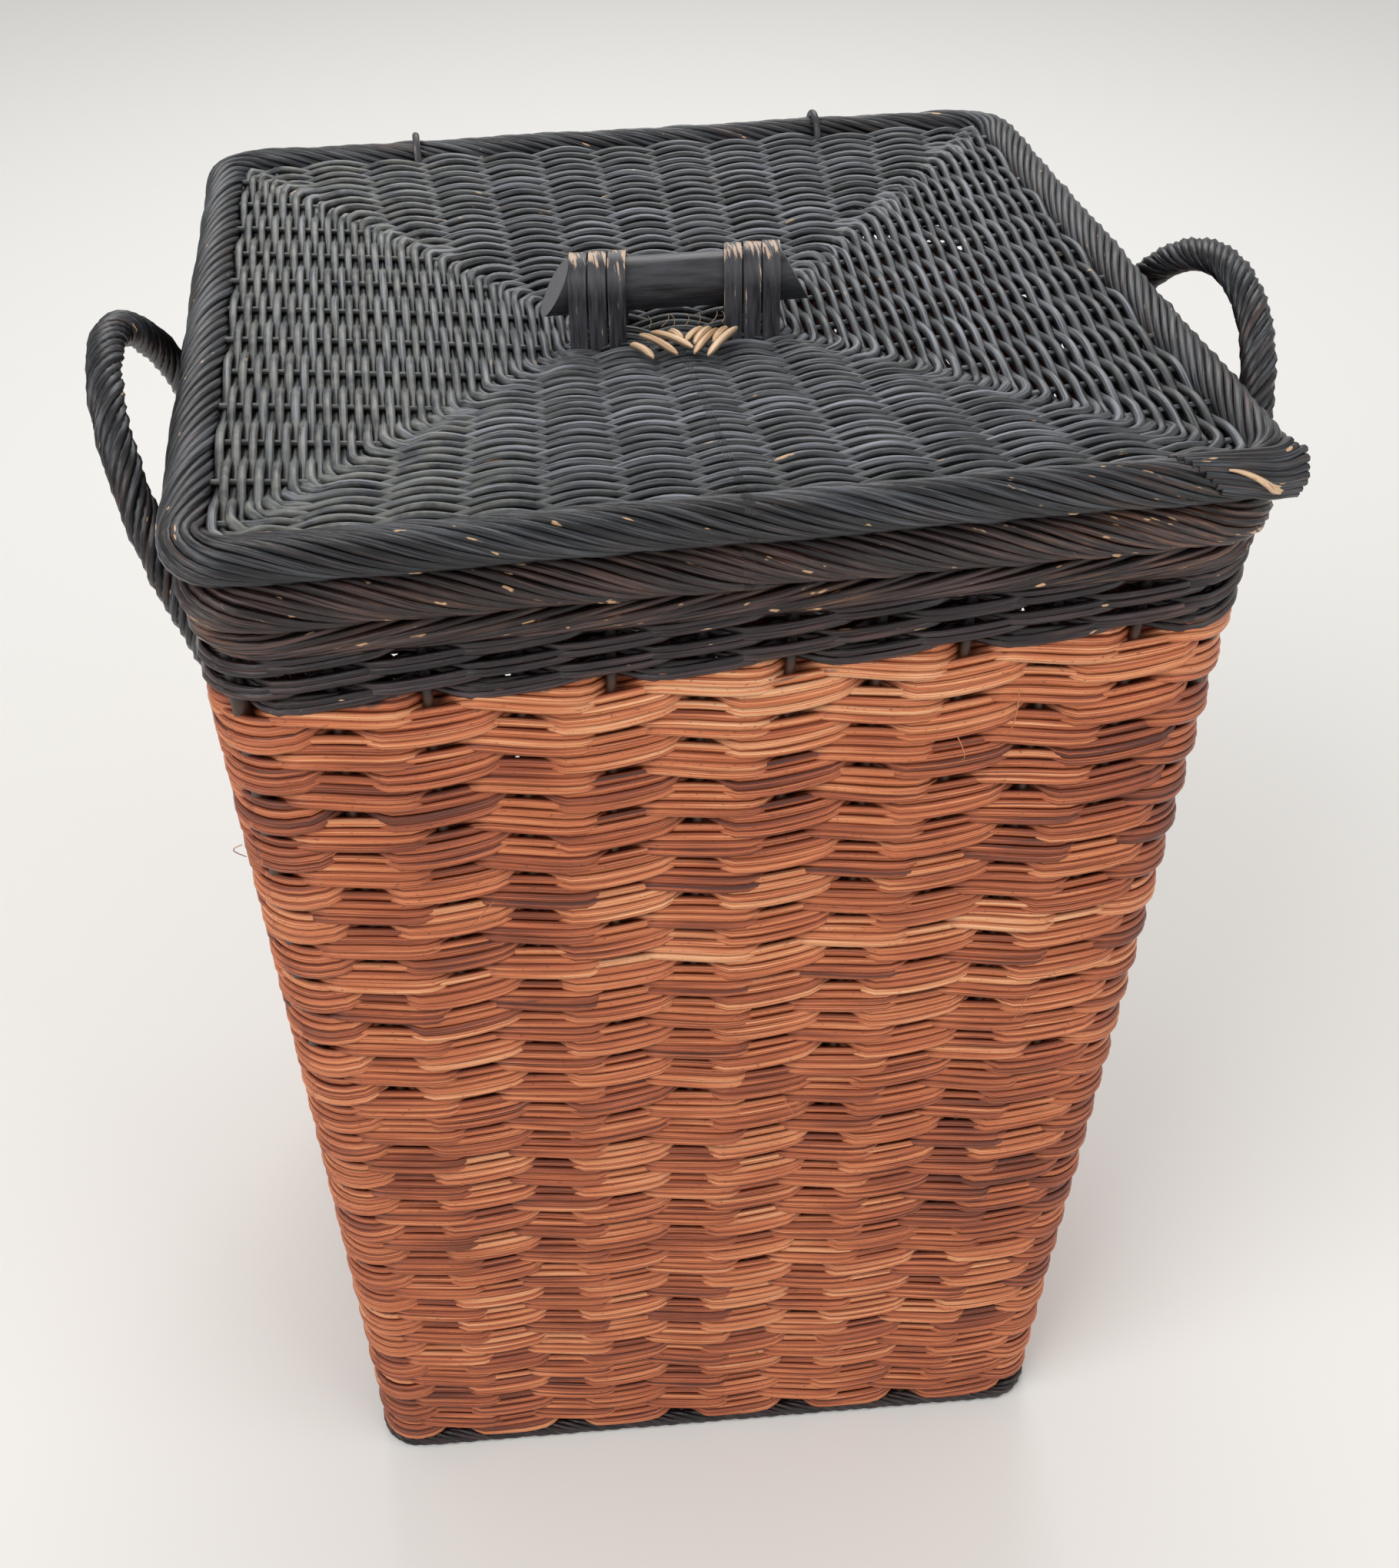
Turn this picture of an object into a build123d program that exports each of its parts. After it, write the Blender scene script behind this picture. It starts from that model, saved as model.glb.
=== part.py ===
from build123d import *
from math import asin, atan2, cos, degrees, hypot, radians, sin, sqrt
import os

# Wicker laundry hamper with a hinged lid, in millimetres.
# +Z is up, the front faces -Y, and the origin is on the floor below the middle of the mouth.

os.makedirs("parts", exist_ok=True)

# Driving sizes of the body
base_width = 342.0
base_depth = 320.0
base_corner = 20.0
base_turn = -4.0
shoulder_width = 390.0
shoulder_depth = 369.0
shoulder_corner = 32.0
brown_height = 498.0
black_rows_height = 22.0
follow_on_height = 11.0
wall = 10.0
foot_height = 8.0
foot_overhang = 2.0
base_thickness = 9.0

# Stakes and corner posts that the walls are woven on
stake_diameter = 4.0
post_diameter = 7.0
stake_spaces = 11
base_stake_pitch = 30.0
stake_clearance = 0.1

# Rolled borders
mouth_overhang_side = 2.5
mouth_overhang_front = 6.5
top_border_diameter = 20.0
lid_overhang_side = 2.5
lid_overhang_front = 3.0
lid_border_diameter = 18.0
border_corner = 28.0
lid_gap = 0.6
follow_on_extra = 1.0

# Lid panel, sunk towards its middle
lid_thickness = 10.0
lid_sag = 14.0
middle_width = 112.0
middle_depth = 60.0
middle_corner = 8.0
lid_rim = 4.0
lid_stake_diameter = 3.4
lid_stake_pitch = 28.0
centre_pair_pitch = 18.0
first_outer_stake = 56.0
bend_radius = 60.0

# Lid handle: a dowel bound down with flat cane
dowel_diameter = 22.0
dowel_top_length = 88.0
dowel_bottom_length = 112.0
dowel_offset = -8.0
finger_gap = 9.0
binding_place = 32.0
binding_turns = 3
cane_width = 7.2
cane_thickness = 1.8
cane_pitch = 8.0
cane_clearance = 0.7

# Carrying hoops
hoop_core_diameter = 8.0
hoop_wrap_diameter = 14.0
hoop_rise = 6.0
hoop_tilt = 18.0
hoop_foot_height = 504.0
hoop_tuck = 24.0
hoop_front_gap = -4
hoop_back_gap = 1
hoop_stand_off = 3.0

# Cane hinge loops round both back borders
loop_diameter = 3.4
loop_clearance = 0.45
loop_gap = 3
loop_slot_clearance = 2.8

# Heights and half sizes that follow from the sizes above
wall_bottom = foot_height
brown_top = wall_bottom + brown_height
rows_top = brown_top + black_rows_height
mouth_width = shoulder_width + 2 * mouth_overhang_side
mouth_depth = shoulder_depth + 2 * mouth_overhang_front
lid_width = mouth_width + 2 * lid_overhang_side
lid_depth = mouth_depth + 2 * lid_overhang_front
follow_on_top = rows_top + follow_on_height
top_border_radius = top_border_diameter / 2
lid_border_radius = lid_border_diameter / 2
top_border_z = follow_on_top + top_border_radius - follow_on_extra
lid_z = top_border_z + top_border_radius + lid_gap + lid_border_radius
top_border_half_width = mouth_width / 2 - top_border_radius
top_border_half_depth = mouth_depth / 2 - top_border_radius
lid_half_width = lid_width / 2 - lid_border_radius
lid_half_depth = lid_depth / 2 - lid_border_radius
shoulder_span = rows_top - wall_bottom
lid_slope_width = lid_half_width - lid_rim - lid_border_radius - middle_width / 2
lid_slope_depth = lid_half_depth - lid_rim - lid_border_radius - middle_depth / 2
dowel_z = lid_z + lid_thickness / 2 - lid_sag + finger_gap + dowel_diameter / 2


def turned(x, y, angle):
    """A point turned about the vertical axis."""
    a = radians(angle)
    return (x * cos(a) - y * sin(a), x * sin(a) + y * cos(a))


def level_plane(height, angle=0.0):
    """A level plane at a height, turned about the vertical axis."""
    return Plane(origin=(0, 0, height), x_dir=(*turned(1, 0, angle), 0), z_dir=(0, 0, 1))


def wall_loft(inset, mode=Mode.ADD):
    """The tapered body between foot and shoulder, drawn in by an inset."""
    with BuildSketch(level_plane(wall_bottom, base_turn)) as low:
        RectangleRounded(base_width - 2 * inset, base_depth - 2 * inset, base_corner - inset)
    with BuildSketch(level_plane(rows_top)) as high:
        RectangleRounded(shoulder_width - 2 * inset, shoulder_depth - 2 * inset, shoulder_corner - inset)
    loft([low.sketch.face(), high.sketch.face()], ruled=True, mode=mode)


def post_place(sx, sy, width, depth, corner):
    """Where a corner post stands in the middle of the wall."""
    reach = (corner - wall / 2) / sqrt(2)
    return (sx * (width / 2 - corner + reach), sy * (depth / 2 - corner + reach))


def post_line(sx, sy):
    """Foot and head of a corner post."""
    low = turned(*post_place(sx, sy, base_width, base_depth, base_corner), base_turn)
    high = post_place(sx, sy, shoulder_width, shoulder_depth, shoulder_corner)
    return (*low, wall_bottom), (*high, rows_top)


def side_point(side, step, width, depth, corner):
    """A point in the middle of one wall, a number of stake spaces from its centre."""
    post_x, post_y = post_place(1, 1, width, depth, corner)
    if side in ("front", "back"):
        sign = -1 if side == "front" else 1
        return (step * 2 * post_x / stake_spaces, sign * (depth / 2 - wall / 2))
    sign = -1 if side == "left" else 1
    return (sign * (width / 2 - wall / 2), step * 2 * post_y / stake_spaces)


def stake_lines(side):
    """Foot and head of each upright stake of one wall."""
    lines = []
    for count in range(1, stake_spaces):
        step = count - stake_spaces / 2
        low = turned(*side_point(side, step, base_width, base_depth, base_corner), base_turn)
        high = side_point(side, step, shoulder_width, shoulder_depth, shoulder_corner)
        lines.append(((*low, wall_bottom), (*high, rows_top)))
    return lines


def upright_rod(line, diameter, overrun, mode=Mode.ADD):
    """A straight rod along a foot-to-head line, longer by an overrun at both ends."""
    low = Vector(*line[0])
    high = Vector(*line[1])
    along = (high - low).normalized()
    with BuildSketch(Plane(origin=low - along * overrun, z_dir=along)) as end:
        Circle(diameter / 2)
    extrude(end.sketch, amount=(high - low).length + 2 * overrun, mode=mode)


def trim_to_wall_height():
    """Cuts rods off level with the foot and the shoulder of the wall."""
    with BuildSketch(Plane.XY.offset(wall_bottom)) as slab:
        Rectangle(2 * shoulder_width, 2 * shoulder_depth)
    extrude(slab.sketch, amount=shoulder_span, mode=Mode.INTERSECT)


SIDES = ("front", "back", "left", "right")
CORNERS = {
    "front_left": (-1, -1),
    "front_right": (1, -1),
    "back_left": (-1, 1),
    "back_right": (1, 1),
}


def bore_wall():
    """Bores for the stakes and posts, right through the wall's height."""
    for side in SIDES:
        for line in stake_lines(side):
            upright_rod(line, stake_diameter + 2 * stake_clearance, 3, Mode.SUBTRACT)
    for sx, sy in CORNERS.values():
        upright_rod(post_line(sx, sy), post_diameter + 2 * stake_clearance, 3, Mode.SUBTRACT)


def hoop_path(side, extra=0.0):
    """Centre line of a carrying hoop: two legs joined by a half circle, leaning outwards."""
    step = 2 * post_place(1, 1, shoulder_width, shoulder_depth, shoulder_corner)[1] / stake_spaces
    front_y = hoop_front_gap * step
    back_y = hoop_back_gap * step
    radius = (back_y - front_y) / 2
    middle_y = (back_y + front_y) / 2
    foot_x = side * (shoulder_width / 2 + hoop_stand_off)
    lean = radians(hoop_tilt)
    up = Vector(side * sin(lean), 0, cos(lean))
    foot = Vector(foot_x, 0, hoop_foot_height)
    tuck = hoop_tuck + extra

    def place(y, rise):
        return foot + Vector(0, y, 0) + up * rise

    first = Line(place(front_y, -tuck), place(front_y, hoop_rise))
    crown = place(middle_y, hoop_rise + radius)
    arch = ThreePointArc(place(front_y, hoop_rise), crown, place(back_y, hoop_rise))
    last = Line(place(back_y, hoop_rise), place(back_y, -tuck))
    return Wire([first, arch, last])


def tube_on(path, diameter, mode=Mode.ADD):
    """A round bar along a path."""
    with BuildSketch(Plane(origin=path @ 0, z_dir=path % 0)) as end:
        Circle(diameter / 2)
    sweep(end.sketch, path=path, mode=mode)


HOOP_SIDES = {"left": -1, "right": 1}


def border_path(half_width, half_depth, height):
    """Centre line of a rolled border, a rounded rectangle from the middle of the front."""
    corner = border_corner - top_border_radius
    with BuildLine(Plane.XY.offset(height)) as line:
        Line((0, -half_depth), (half_width - corner, -half_depth))
        CenterArc((half_width - corner, corner - half_depth), corner, -90, 90)
        Line((half_width, corner - half_depth), (half_width, half_depth - corner))
        CenterArc((half_width - corner, half_depth - corner), corner, 0, 90)
        Line((half_width - corner, half_depth), (corner - half_width, half_depth))
        CenterArc((corner - half_width, half_depth - corner), corner, 90, 90)
        Line((-half_width, half_depth - corner), (-half_width, corner - half_depth))
        CenterArc((corner - half_width, corner - half_depth), corner, 180, 90)
        Line((corner - half_width, -half_depth), (0, -half_depth))
    return line.wire()


top_border_line = border_path(top_border_half_width, top_border_half_depth, top_border_z)
lid_border_line = border_path(lid_half_width, lid_half_depth, lid_z)


def loop_place(side):
    """How far a hinge loop stands from the middle, between two stakes."""
    post_x = post_place(1, 1, shoulder_width, shoulder_depth, shoulder_corner)[0]
    return side * (loop_gap * 2 * post_x / stake_spaces)


def loop_path(side):
    """Centre line of a hinge loop: an arc round each back border, joined by tangent lines."""
    low = (top_border_half_depth, top_border_z)
    high = (lid_half_depth, lid_z)
    lean = degrees(atan2(high[1] - low[1], high[0] - low[0]))
    low_radius = top_border_radius + loop_clearance + loop_diameter / 2
    high_radius = lid_border_radius + loop_clearance + loop_diameter / 2
    frame = Plane(
        origin=(loop_place(side), *low),
        x_dir=(0, cos(radians(lean)), sin(radians(lean))),
        z_dir=(1, 0, 0),
    )
    apart = hypot(high[0] - low[0], high[1] - low[1])
    taper = asin((low_radius - high_radius) / apart)
    reach = 90 - degrees(taper)

    def tangent(centre, radius, sign):
        return (centre + radius * sin(taper), sign * radius * cos(taper))

    with BuildLine(frame) as line:
        Line(tangent(0, low_radius, -1), tangent(apart, high_radius, -1))
        CenterArc((apart, 0), high_radius, -reach, 2 * reach)
        Line(tangent(apart, high_radius, 1), tangent(0, low_radius, 1))
        CenterArc((0, 0), low_radius, reach, 360 - 2 * reach)
    return line.wire()


# Foot border, the black ring that stands on the floor
with BuildPart() as foot_border:
    with BuildSketch(level_plane(0, base_turn)):
        RectangleRounded(
            base_width + 2 * foot_overhang,
            base_depth + 2 * foot_overhang,
            base_corner + foot_overhang,
        )
        RectangleRounded(
            base_width - 2 * wall - 2 * foot_overhang,
            base_depth - 2 * wall - 2 * foot_overhang,
            base_corner - wall - foot_overhang,
            mode=Mode.SUBTRACT,
        )
    extrude(amount=foot_height)
    fillet(foot_border.edges().filter_by(Plane.XY).group_by(Axis.Z)[-1], foot_overhang * 0.9)
foot_border.part.label = "foot_border"

# Body walls: one tapered shell, brown below and black above
with BuildPart() as brown_weave:
    wall_loft(0)
    wall_loft(wall, Mode.SUBTRACT)
    split(bisect_by=Plane.XY.offset(brown_top), keep=Keep.BOTTOM)
    bore_wall()
    for hoop_side in HOOP_SIDES.values():
        tube_on(hoop_path(hoop_side, 2), hoop_wrap_diameter + 2 * stake_clearance, Mode.SUBTRACT)
brown_weave.part.label = "brown_weave"

with BuildPart() as black_band:
    wall_loft(0)
    wall_loft(wall, Mode.SUBTRACT)
    split(bisect_by=Plane.XY.offset(brown_top), keep=Keep.TOP)
    bore_wall()
    for hoop_side in HOOP_SIDES.values():
        tube_on(hoop_path(hoop_side, 2), hoop_wrap_diameter + 2 * stake_clearance, Mode.SUBTRACT)
black_band.part.label = "black_band"

# Plaited follow-on border between the black rows and the rolled border, which it cradles
with BuildPart() as follow_on_border:
    with BuildSketch(Plane.XY.offset(rows_top)):
        RectangleRounded(
            shoulder_width + 2 * follow_on_extra,
            shoulder_depth + 2 * follow_on_extra,
            shoulder_corner + follow_on_extra,
        )
        RectangleRounded(
            shoulder_width - 2 * wall,
            shoulder_depth - 2 * wall,
            shoulder_corner - wall,
            mode=Mode.SUBTRACT,
        )
    extrude(amount=follow_on_height + top_border_radius / 3)
    tube_on(top_border_line, top_border_diameter, Mode.SUBTRACT)
    for loop_side in HOOP_SIDES.values():
        tube_on(loop_path(loop_side), loop_diameter + 2 * stake_clearance, Mode.SUBTRACT)
follow_on_border.part.label = "follow_on_border"

with BuildPart() as top_border:
    tube_on(top_border_line, top_border_diameter)
top_border.part.label = "top_border"

# Woven bottom panel on its own sticks
base_stake_z = wall_bottom + base_thickness / 2
base_inner_width = base_width - 2 * wall
base_inner_depth = base_depth - 2 * wall
base_stake_count = int((base_inner_width - 2 * stake_diameter) / base_stake_pitch)
base_stake_places = [
    (count - (base_stake_count - 1) / 2) * base_stake_pitch for count in range(base_stake_count)
]
base_stake_length = base_inner_depth - 2 * foot_overhang


def base_stake(place, diameter, length, mode=Mode.ADD):
    """One straight stick that runs front to back in the bottom panel."""
    start = turned(place, -length / 2, base_turn)
    along = turned(0, 1, base_turn)
    with BuildSketch(Plane(origin=(*start, base_stake_z), z_dir=(*along, 0))) as end:
        Circle(diameter / 2)
    extrude(end.sketch, amount=length, mode=mode)


with BuildPart() as base_panel:
    wall_loft(wall)
    split(bisect_by=Plane.XY.offset(wall_bottom + base_thickness), keep=Keep.BOTTOM)
    for stake_place in base_stake_places:
        bore_diameter = stake_diameter + 2 * stake_clearance
        base_stake(stake_place, bore_diameter, base_stake_length + 2 * stake_clearance, Mode.SUBTRACT)
base_panel.part.label = "base_panel"

with BuildPart() as base_stakes:
    for stake_place in base_stake_places:
        base_stake(stake_place, stake_diameter, base_stake_length)
base_stakes.part.label = "base_stakes"

# Upright stakes of each wall, and the four corner posts
upright_parts = []
for wall_side in SIDES:
    with BuildPart() as stakes:
        for stake_line in stake_lines(wall_side):
            upright_rod(stake_line, stake_diameter, 3)
        trim_to_wall_height()
    stakes.part.label = wall_side + "_stakes"
    upright_parts.append(stakes.part)

for corner_name, (side_x, side_y) in CORNERS.items():
    with BuildPart() as post:
        upright_rod(post_line(side_x, side_y), post_diameter, 3)
        trim_to_wall_height()
    post.part.label = "corner_post_" + corner_name
    upright_parts.append(post.part)

# Carrying hoops: a bent cane core, wrapped with thinner canes
hoop_parts = []
for hoop_name, hoop_side in HOOP_SIDES.items():
    with BuildPart() as hoop_core:
        tube_on(hoop_path(hoop_side), hoop_core_diameter)
    hoop_core.part.label = hoop_name + "_hoop_core"
    hoop_parts.append(hoop_core.part)
    with BuildPart() as hoop_wrap:
        tube_on(hoop_path(hoop_side), hoop_wrap_diameter)
        tube_on(hoop_path(hoop_side), hoop_core_diameter, Mode.SUBTRACT)
    hoop_wrap.part.label = hoop_name + "_hoop_wrap"
    hoop_parts.append(hoop_wrap.part)

# Cane loops that hinge the lid's back border to the body's back border
loop_parts = []
for loop_name, loop_side in HOOP_SIDES.items():
    with BuildPart() as hinge_loop:
        tube_on(loop_path(loop_side), loop_diameter)
    hinge_loop.part.label = "hinge_loop_" + loop_name
    loop_parts.append(hinge_loop.part)


# Lid
def lid_basin(rise, mode):
    """The hip shape between the lid's rim and its sunk middle, at a height above the panel's centre."""
    with BuildSketch(Plane.XY.offset(lid_z + rise)) as rim:
        RectangleRounded(
            middle_width + 2 * lid_slope_width,
            middle_depth + 2 * lid_slope_depth,
            middle_corner,
        )
    with BuildSketch(Plane.XY.offset(lid_z + rise - lid_sag)) as middle:
        RectangleRounded(middle_width, middle_depth, middle_corner)
    loft([rim.sketch.face(), middle.sketch.face()], ruled=True, mode=mode)


def lid_stake_line(place, crosswise, layer, diameter, overrun, mode=Mode.ADD):
    """A stake that follows the panel: down the slope, level, and up again."""
    if crosswise:
        slope, middle, other_slope, other_middle = (
            lid_slope_depth, middle_depth / 2, lid_slope_width, middle_width / 2)
    else:
        slope, middle, other_slope, other_middle = (
            lid_slope_width, middle_width / 2, lid_slope_depth, middle_depth / 2)
    sunk = max(0, 1 - max(0, abs(place) - other_middle) / other_slope)
    bend = middle + slope * (1 - sunk)
    end = middle + slope + overrun
    rise = overrun * lid_sag / slope
    frame = Plane(origin=(place, 0, lid_z + layer), x_dir=(0, 1, 0), z_dir=(1, 0, 0))
    if not crosswise:
        frame = Plane(origin=(0, place, lid_z + layer), x_dir=(1, 0, 0), z_dir=(0, -1, 0))
    with BuildLine(frame) as line:
        FilletPolyline(
            (-end, rise),
            (-bend, -lid_sag * sunk),
            (bend, -lid_sag * sunk),
            (end, rise),
            radius=bend_radius,
        )
    tube_on(line.wire(), diameter, mode)


lid_stake_layer = lid_stake_diameter / 2 + 0.2
cross_count = int((lid_half_width - lid_border_radius - 12 - first_outer_stake) / lid_stake_pitch) + 1
cross_places = [sign * centre_pair_pitch / 2 for sign in (-1, 1)]
cross_places += [
    sign * (first_outer_stake + count * lid_stake_pitch)
    for sign in (-1, 1)
    for count in range(cross_count)
]
length_count = int((lid_half_depth - lid_border_radius - 24) / lid_stake_pitch)
length_places = [count * lid_stake_pitch for count in range(-length_count, length_count + 1)]


def lid_stakes(crosswise, diameter, overrun, mode=Mode.ADD):
    """All the lid's stakes that run one way."""
    layer = -lid_stake_layer if crosswise else lid_stake_layer
    for place in cross_places if crosswise else length_places:
        lid_stake_line(place, crosswise, layer, diameter, overrun, mode)


# Slots in the lid for the handle bindings and for the hinge loops
binding_radius = dowel_diameter / 2 + cane_clearance + cane_thickness / 2
binding_low = lid_z - lid_sag - lid_thickness / 2 - cane_clearance - cane_thickness / 2
binding_run = (binding_turns - 0.5) * cane_pitch


def binding_slots():
    """Slots in front of and behind the dowel that the binding canes pass through."""
    for side in HOOP_SIDES.values():
        for face in (-1, 1):
            with BuildSketch(Plane.XY.offset(lid_z - lid_sag - lid_thickness)) as slot:
                with Locations((side * binding_place, dowel_offset + face * binding_radius)):
                    Rectangle(
                        binding_run + cane_width + 2 * cane_clearance,
                        cane_thickness + 2 * cane_clearance,
                    )
            extrude(slot.sketch, amount=2 * lid_thickness, mode=Mode.SUBTRACT)


def loop_slots():
    """Slots beside the lid's back border that the hinge loops stand in."""
    reach = loop_diameter + loop_clearance + loop_slot_clearance
    for side in HOOP_SIDES.values():
        with BuildSketch(Plane.XY.offset(lid_z - lid_thickness)) as slot:
            with Locations((loop_place(side), lid_half_depth - (reach + lid_border_radius) / 2)):
                Rectangle(loop_diameter + 2 * loop_slot_clearance, reach + lid_border_radius)
        extrude(slot.sketch, amount=2 * lid_thickness, mode=Mode.SUBTRACT)


with BuildPart() as lid_panel:
    with BuildSketch(Plane.XY.offset(lid_z - lid_thickness / 2)):
        RectangleRounded(2 * lid_half_width, 2 * lid_half_depth, border_corner - top_border_radius)
    extrude(amount=lid_thickness)
    lid_basin(-lid_thickness / 2, Mode.ADD)
    lid_basin(lid_thickness / 2, Mode.SUBTRACT)
    tube_on(lid_border_line, lid_border_diameter, Mode.SUBTRACT)
    bore = lid_stake_diameter + 2 * stake_clearance
    lid_stakes(True, bore, stake_clearance, Mode.SUBTRACT)
    lid_stakes(False, bore, stake_clearance, Mode.SUBTRACT)
    binding_slots()
    loop_slots()
lid_panel.part.label = "lid_panel"

with BuildPart() as lid_cross_stakes:
    lid_stakes(True, lid_stake_diameter, 0.0)
lid_cross_stakes.part.label = "lid_cross_stakes"

with BuildPart() as lid_length_stakes:
    lid_stakes(False, lid_stake_diameter, 0.0)
lid_length_stakes.part.label = "lid_length_stakes"

with BuildPart() as lid_border:
    tube_on(lid_border_line, lid_border_diameter)
lid_border.part.label = "lid_border"

# Wooden dowel with slanted ends
dowel_radius = dowel_diameter / 2
with BuildPart() as handle_dowel:
    with BuildSketch(Plane.XZ.offset(-dowel_offset + dowel_radius)):
        with BuildLine():
            Polyline(
                (-dowel_bottom_length / 2, dowel_z - dowel_radius),
                (dowel_bottom_length / 2, dowel_z - dowel_radius),
                (dowel_top_length / 2, dowel_z + dowel_radius),
                (-dowel_top_length / 2, dowel_z + dowel_radius),
                close=True,
            )
        make_face()
    extrude(amount=-dowel_diameter)
    with BuildSketch(Plane(origin=(-dowel_bottom_length, dowel_offset, dowel_z), z_dir=(1, 0, 0))):
        Circle(dowel_radius)
    extrude(amount=2 * dowel_bottom_length, mode=Mode.INTERSECT)
handle_dowel.part.label = "handle_dowel"


def binding_corners(side):
    """Points where a binding passes from its straight runs to its half turns, in order."""
    x = side * binding_place - binding_run / 2
    half = cane_pitch / 2
    corners = []
    for count in range(2 * binding_turns):
        face = -1 if count % 2 == 0 else 1
        y = dowel_offset + face * binding_radius
        ends = [(x + count * half, y, binding_low), (x + count * half, y, dowel_z)]
        corners += ends if face < 0 else ends[::-1]
    return corners


def cane_end(corner, aim, face):
    """The cane's cross section at a corner, turned towards the corner that it aims at."""
    aside = Vector(aim[1] - corner[1], corner[0] - aim[0], 0) * face
    with BuildSketch(Plane(origin=corner, x_dir=aside, z_dir=(0, 0, 1))) as end:
        Rectangle(cane_width, cane_thickness)
    return end.sketch.face()


def half_turn(start, end, rise):
    """The half circle from one corner to the next, over the dowel or under the panel."""
    middle = (Vector(*start) + Vector(*end)) / 2
    return Edge.make_three_point_arc(Vector(*start), middle + Vector(0, 0, rise), Vector(*end))


def binding_lines(corners):
    """The binding's straight runs and half turns as edges."""
    reach = hypot(binding_radius, cane_pitch / 4)
    edges = []
    for count in range(len(corners) - 1):
        start, end = corners[count], corners[count + 1]
        if count % 2 == 0:
            edges.append(Edge.make_line(Vector(*start), Vector(*end)))
        else:
            edges.append(half_turn(start, end, reach if start[2] == dowel_z else -reach))
    return edges


def least_gap(edges, apart):
    """Least gap between the cane's turns, measured on points of its centre line."""
    steps = 60
    rows = [[edge @ (k / steps) for k in range(steps)] for edge in edges]
    gap = cane_pitch * binding_turns
    for first in range(len(rows) - apart):
        for second in range(first + apart, len(rows)):
            for one in rows[first]:
                gap = min(gap, min((one - other).length for other in rows[second]))
    return gap - cane_width


binding_parts = []
for binding_name, binding_side in HOOP_SIDES.items():
    binding_points = binding_corners(binding_side)
    binding_edges = binding_lines(binding_points)
    with BuildPart() as binding:
        for index, edge in enumerate(binding_edges):
            start_point, end_point = binding_points[index], binding_points[index + 1]
            before = binding_points[index - 1] if index else None
            if index % 2:
                facing = 1 if start_point[1] < end_point[1] else -1
                sweep(cane_end(start_point, end_point, facing), path=edge)
                continue
            after = binding_points[index + 2] if index + 2 < len(binding_points) else None
            facing = 1 if start_point[1] < dowel_offset else -1
            low_aim = before or after
            high_aim = after or before
            ends = [cane_end(start_point, low_aim, facing), cane_end(end_point, high_aim, facing)]
            loft(ends, ruled=True)
    binding.part.label = "handle_binding_" + binding_name
    binding_parts.append(binding.part)
    print(binding_name, "binding, least gap to itself", round(least_gap(binding_edges, 3), 2))

finished = [
    foot_border.part,
    brown_weave.part,
    black_band.part,
    follow_on_border.part,
    top_border.part,
    base_panel.part,
    base_stakes.part,
    *upright_parts,
    *hoop_parts,
    *loop_parts,
    lid_panel.part,
    lid_cross_stakes.part,
    lid_length_stakes.part,
    lid_border.part,
    handle_dowel.part,
    *binding_parts,
]
for piece in finished:
    export_step(piece, "parts/" + piece.label + ".step")
    print(piece.label, len(piece.solids()), round(piece.volume))
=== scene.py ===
import math
import bpy
import numpy as np
from mathutils import Matrix, Vector

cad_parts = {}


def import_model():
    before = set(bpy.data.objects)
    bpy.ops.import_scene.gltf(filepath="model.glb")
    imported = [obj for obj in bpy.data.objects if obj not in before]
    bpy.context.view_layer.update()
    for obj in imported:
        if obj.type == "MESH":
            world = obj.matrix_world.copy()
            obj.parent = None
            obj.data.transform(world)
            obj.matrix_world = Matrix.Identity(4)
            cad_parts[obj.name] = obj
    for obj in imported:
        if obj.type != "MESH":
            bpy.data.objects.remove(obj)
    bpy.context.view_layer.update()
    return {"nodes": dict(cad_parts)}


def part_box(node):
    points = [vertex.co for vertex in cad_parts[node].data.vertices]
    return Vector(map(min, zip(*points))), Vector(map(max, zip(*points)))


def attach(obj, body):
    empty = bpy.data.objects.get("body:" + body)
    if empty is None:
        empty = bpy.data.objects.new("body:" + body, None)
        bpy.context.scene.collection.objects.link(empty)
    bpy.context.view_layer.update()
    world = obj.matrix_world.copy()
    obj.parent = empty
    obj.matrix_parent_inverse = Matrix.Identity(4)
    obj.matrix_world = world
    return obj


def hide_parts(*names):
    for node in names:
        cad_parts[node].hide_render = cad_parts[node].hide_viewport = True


# Wicker laundry hamper: every woven wall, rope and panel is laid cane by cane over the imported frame.
# Metres, +Z up, the front faces -Y, and the origin is on the floor below the mouth.

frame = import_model()
chance = np.random.default_rng(11)

# Body outline at the foot and at the shoulder
BASE_WIDTH = 0.342
BASE_DEPTH = 0.320
BASE_CORNER = 0.020
BASE_TURN = math.radians(-4.0)
SHOULDER_WIDTH = 0.390
SHOULDER_DEPTH = 0.369
SHOULDER_CORNER = 0.032
WALL = 0.010
SPACES = 11
ROUND = 4 * SPACES

UP = np.array((0.0, 0.0, 1.0))

FOOT_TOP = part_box("foot_border")[1][2]
BROWN_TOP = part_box("brown_weave")[1][2]
ROWS_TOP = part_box("black_band")[1][2]
SHOULDER_Z = ROWS_TOP


def middle_of(node):
    """The middle of a node's box."""
    low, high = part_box(node)
    return (np.array(low) + np.array(high)) / 2


# Rolled borders
BORDER_CORNER = 0.018
TOP_BORDER_RADIUS = 0.010
LID_BORDER_RADIUS = 0.009
top_border_low, top_border_high = (np.array(corner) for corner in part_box("top_border"))
lid_border_low, lid_border_high = (np.array(corner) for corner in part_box("lid_border"))
TOP_BORDER_Z = middle_of("top_border")[2]
LID_Z = middle_of("lid_border")[2]

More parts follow.
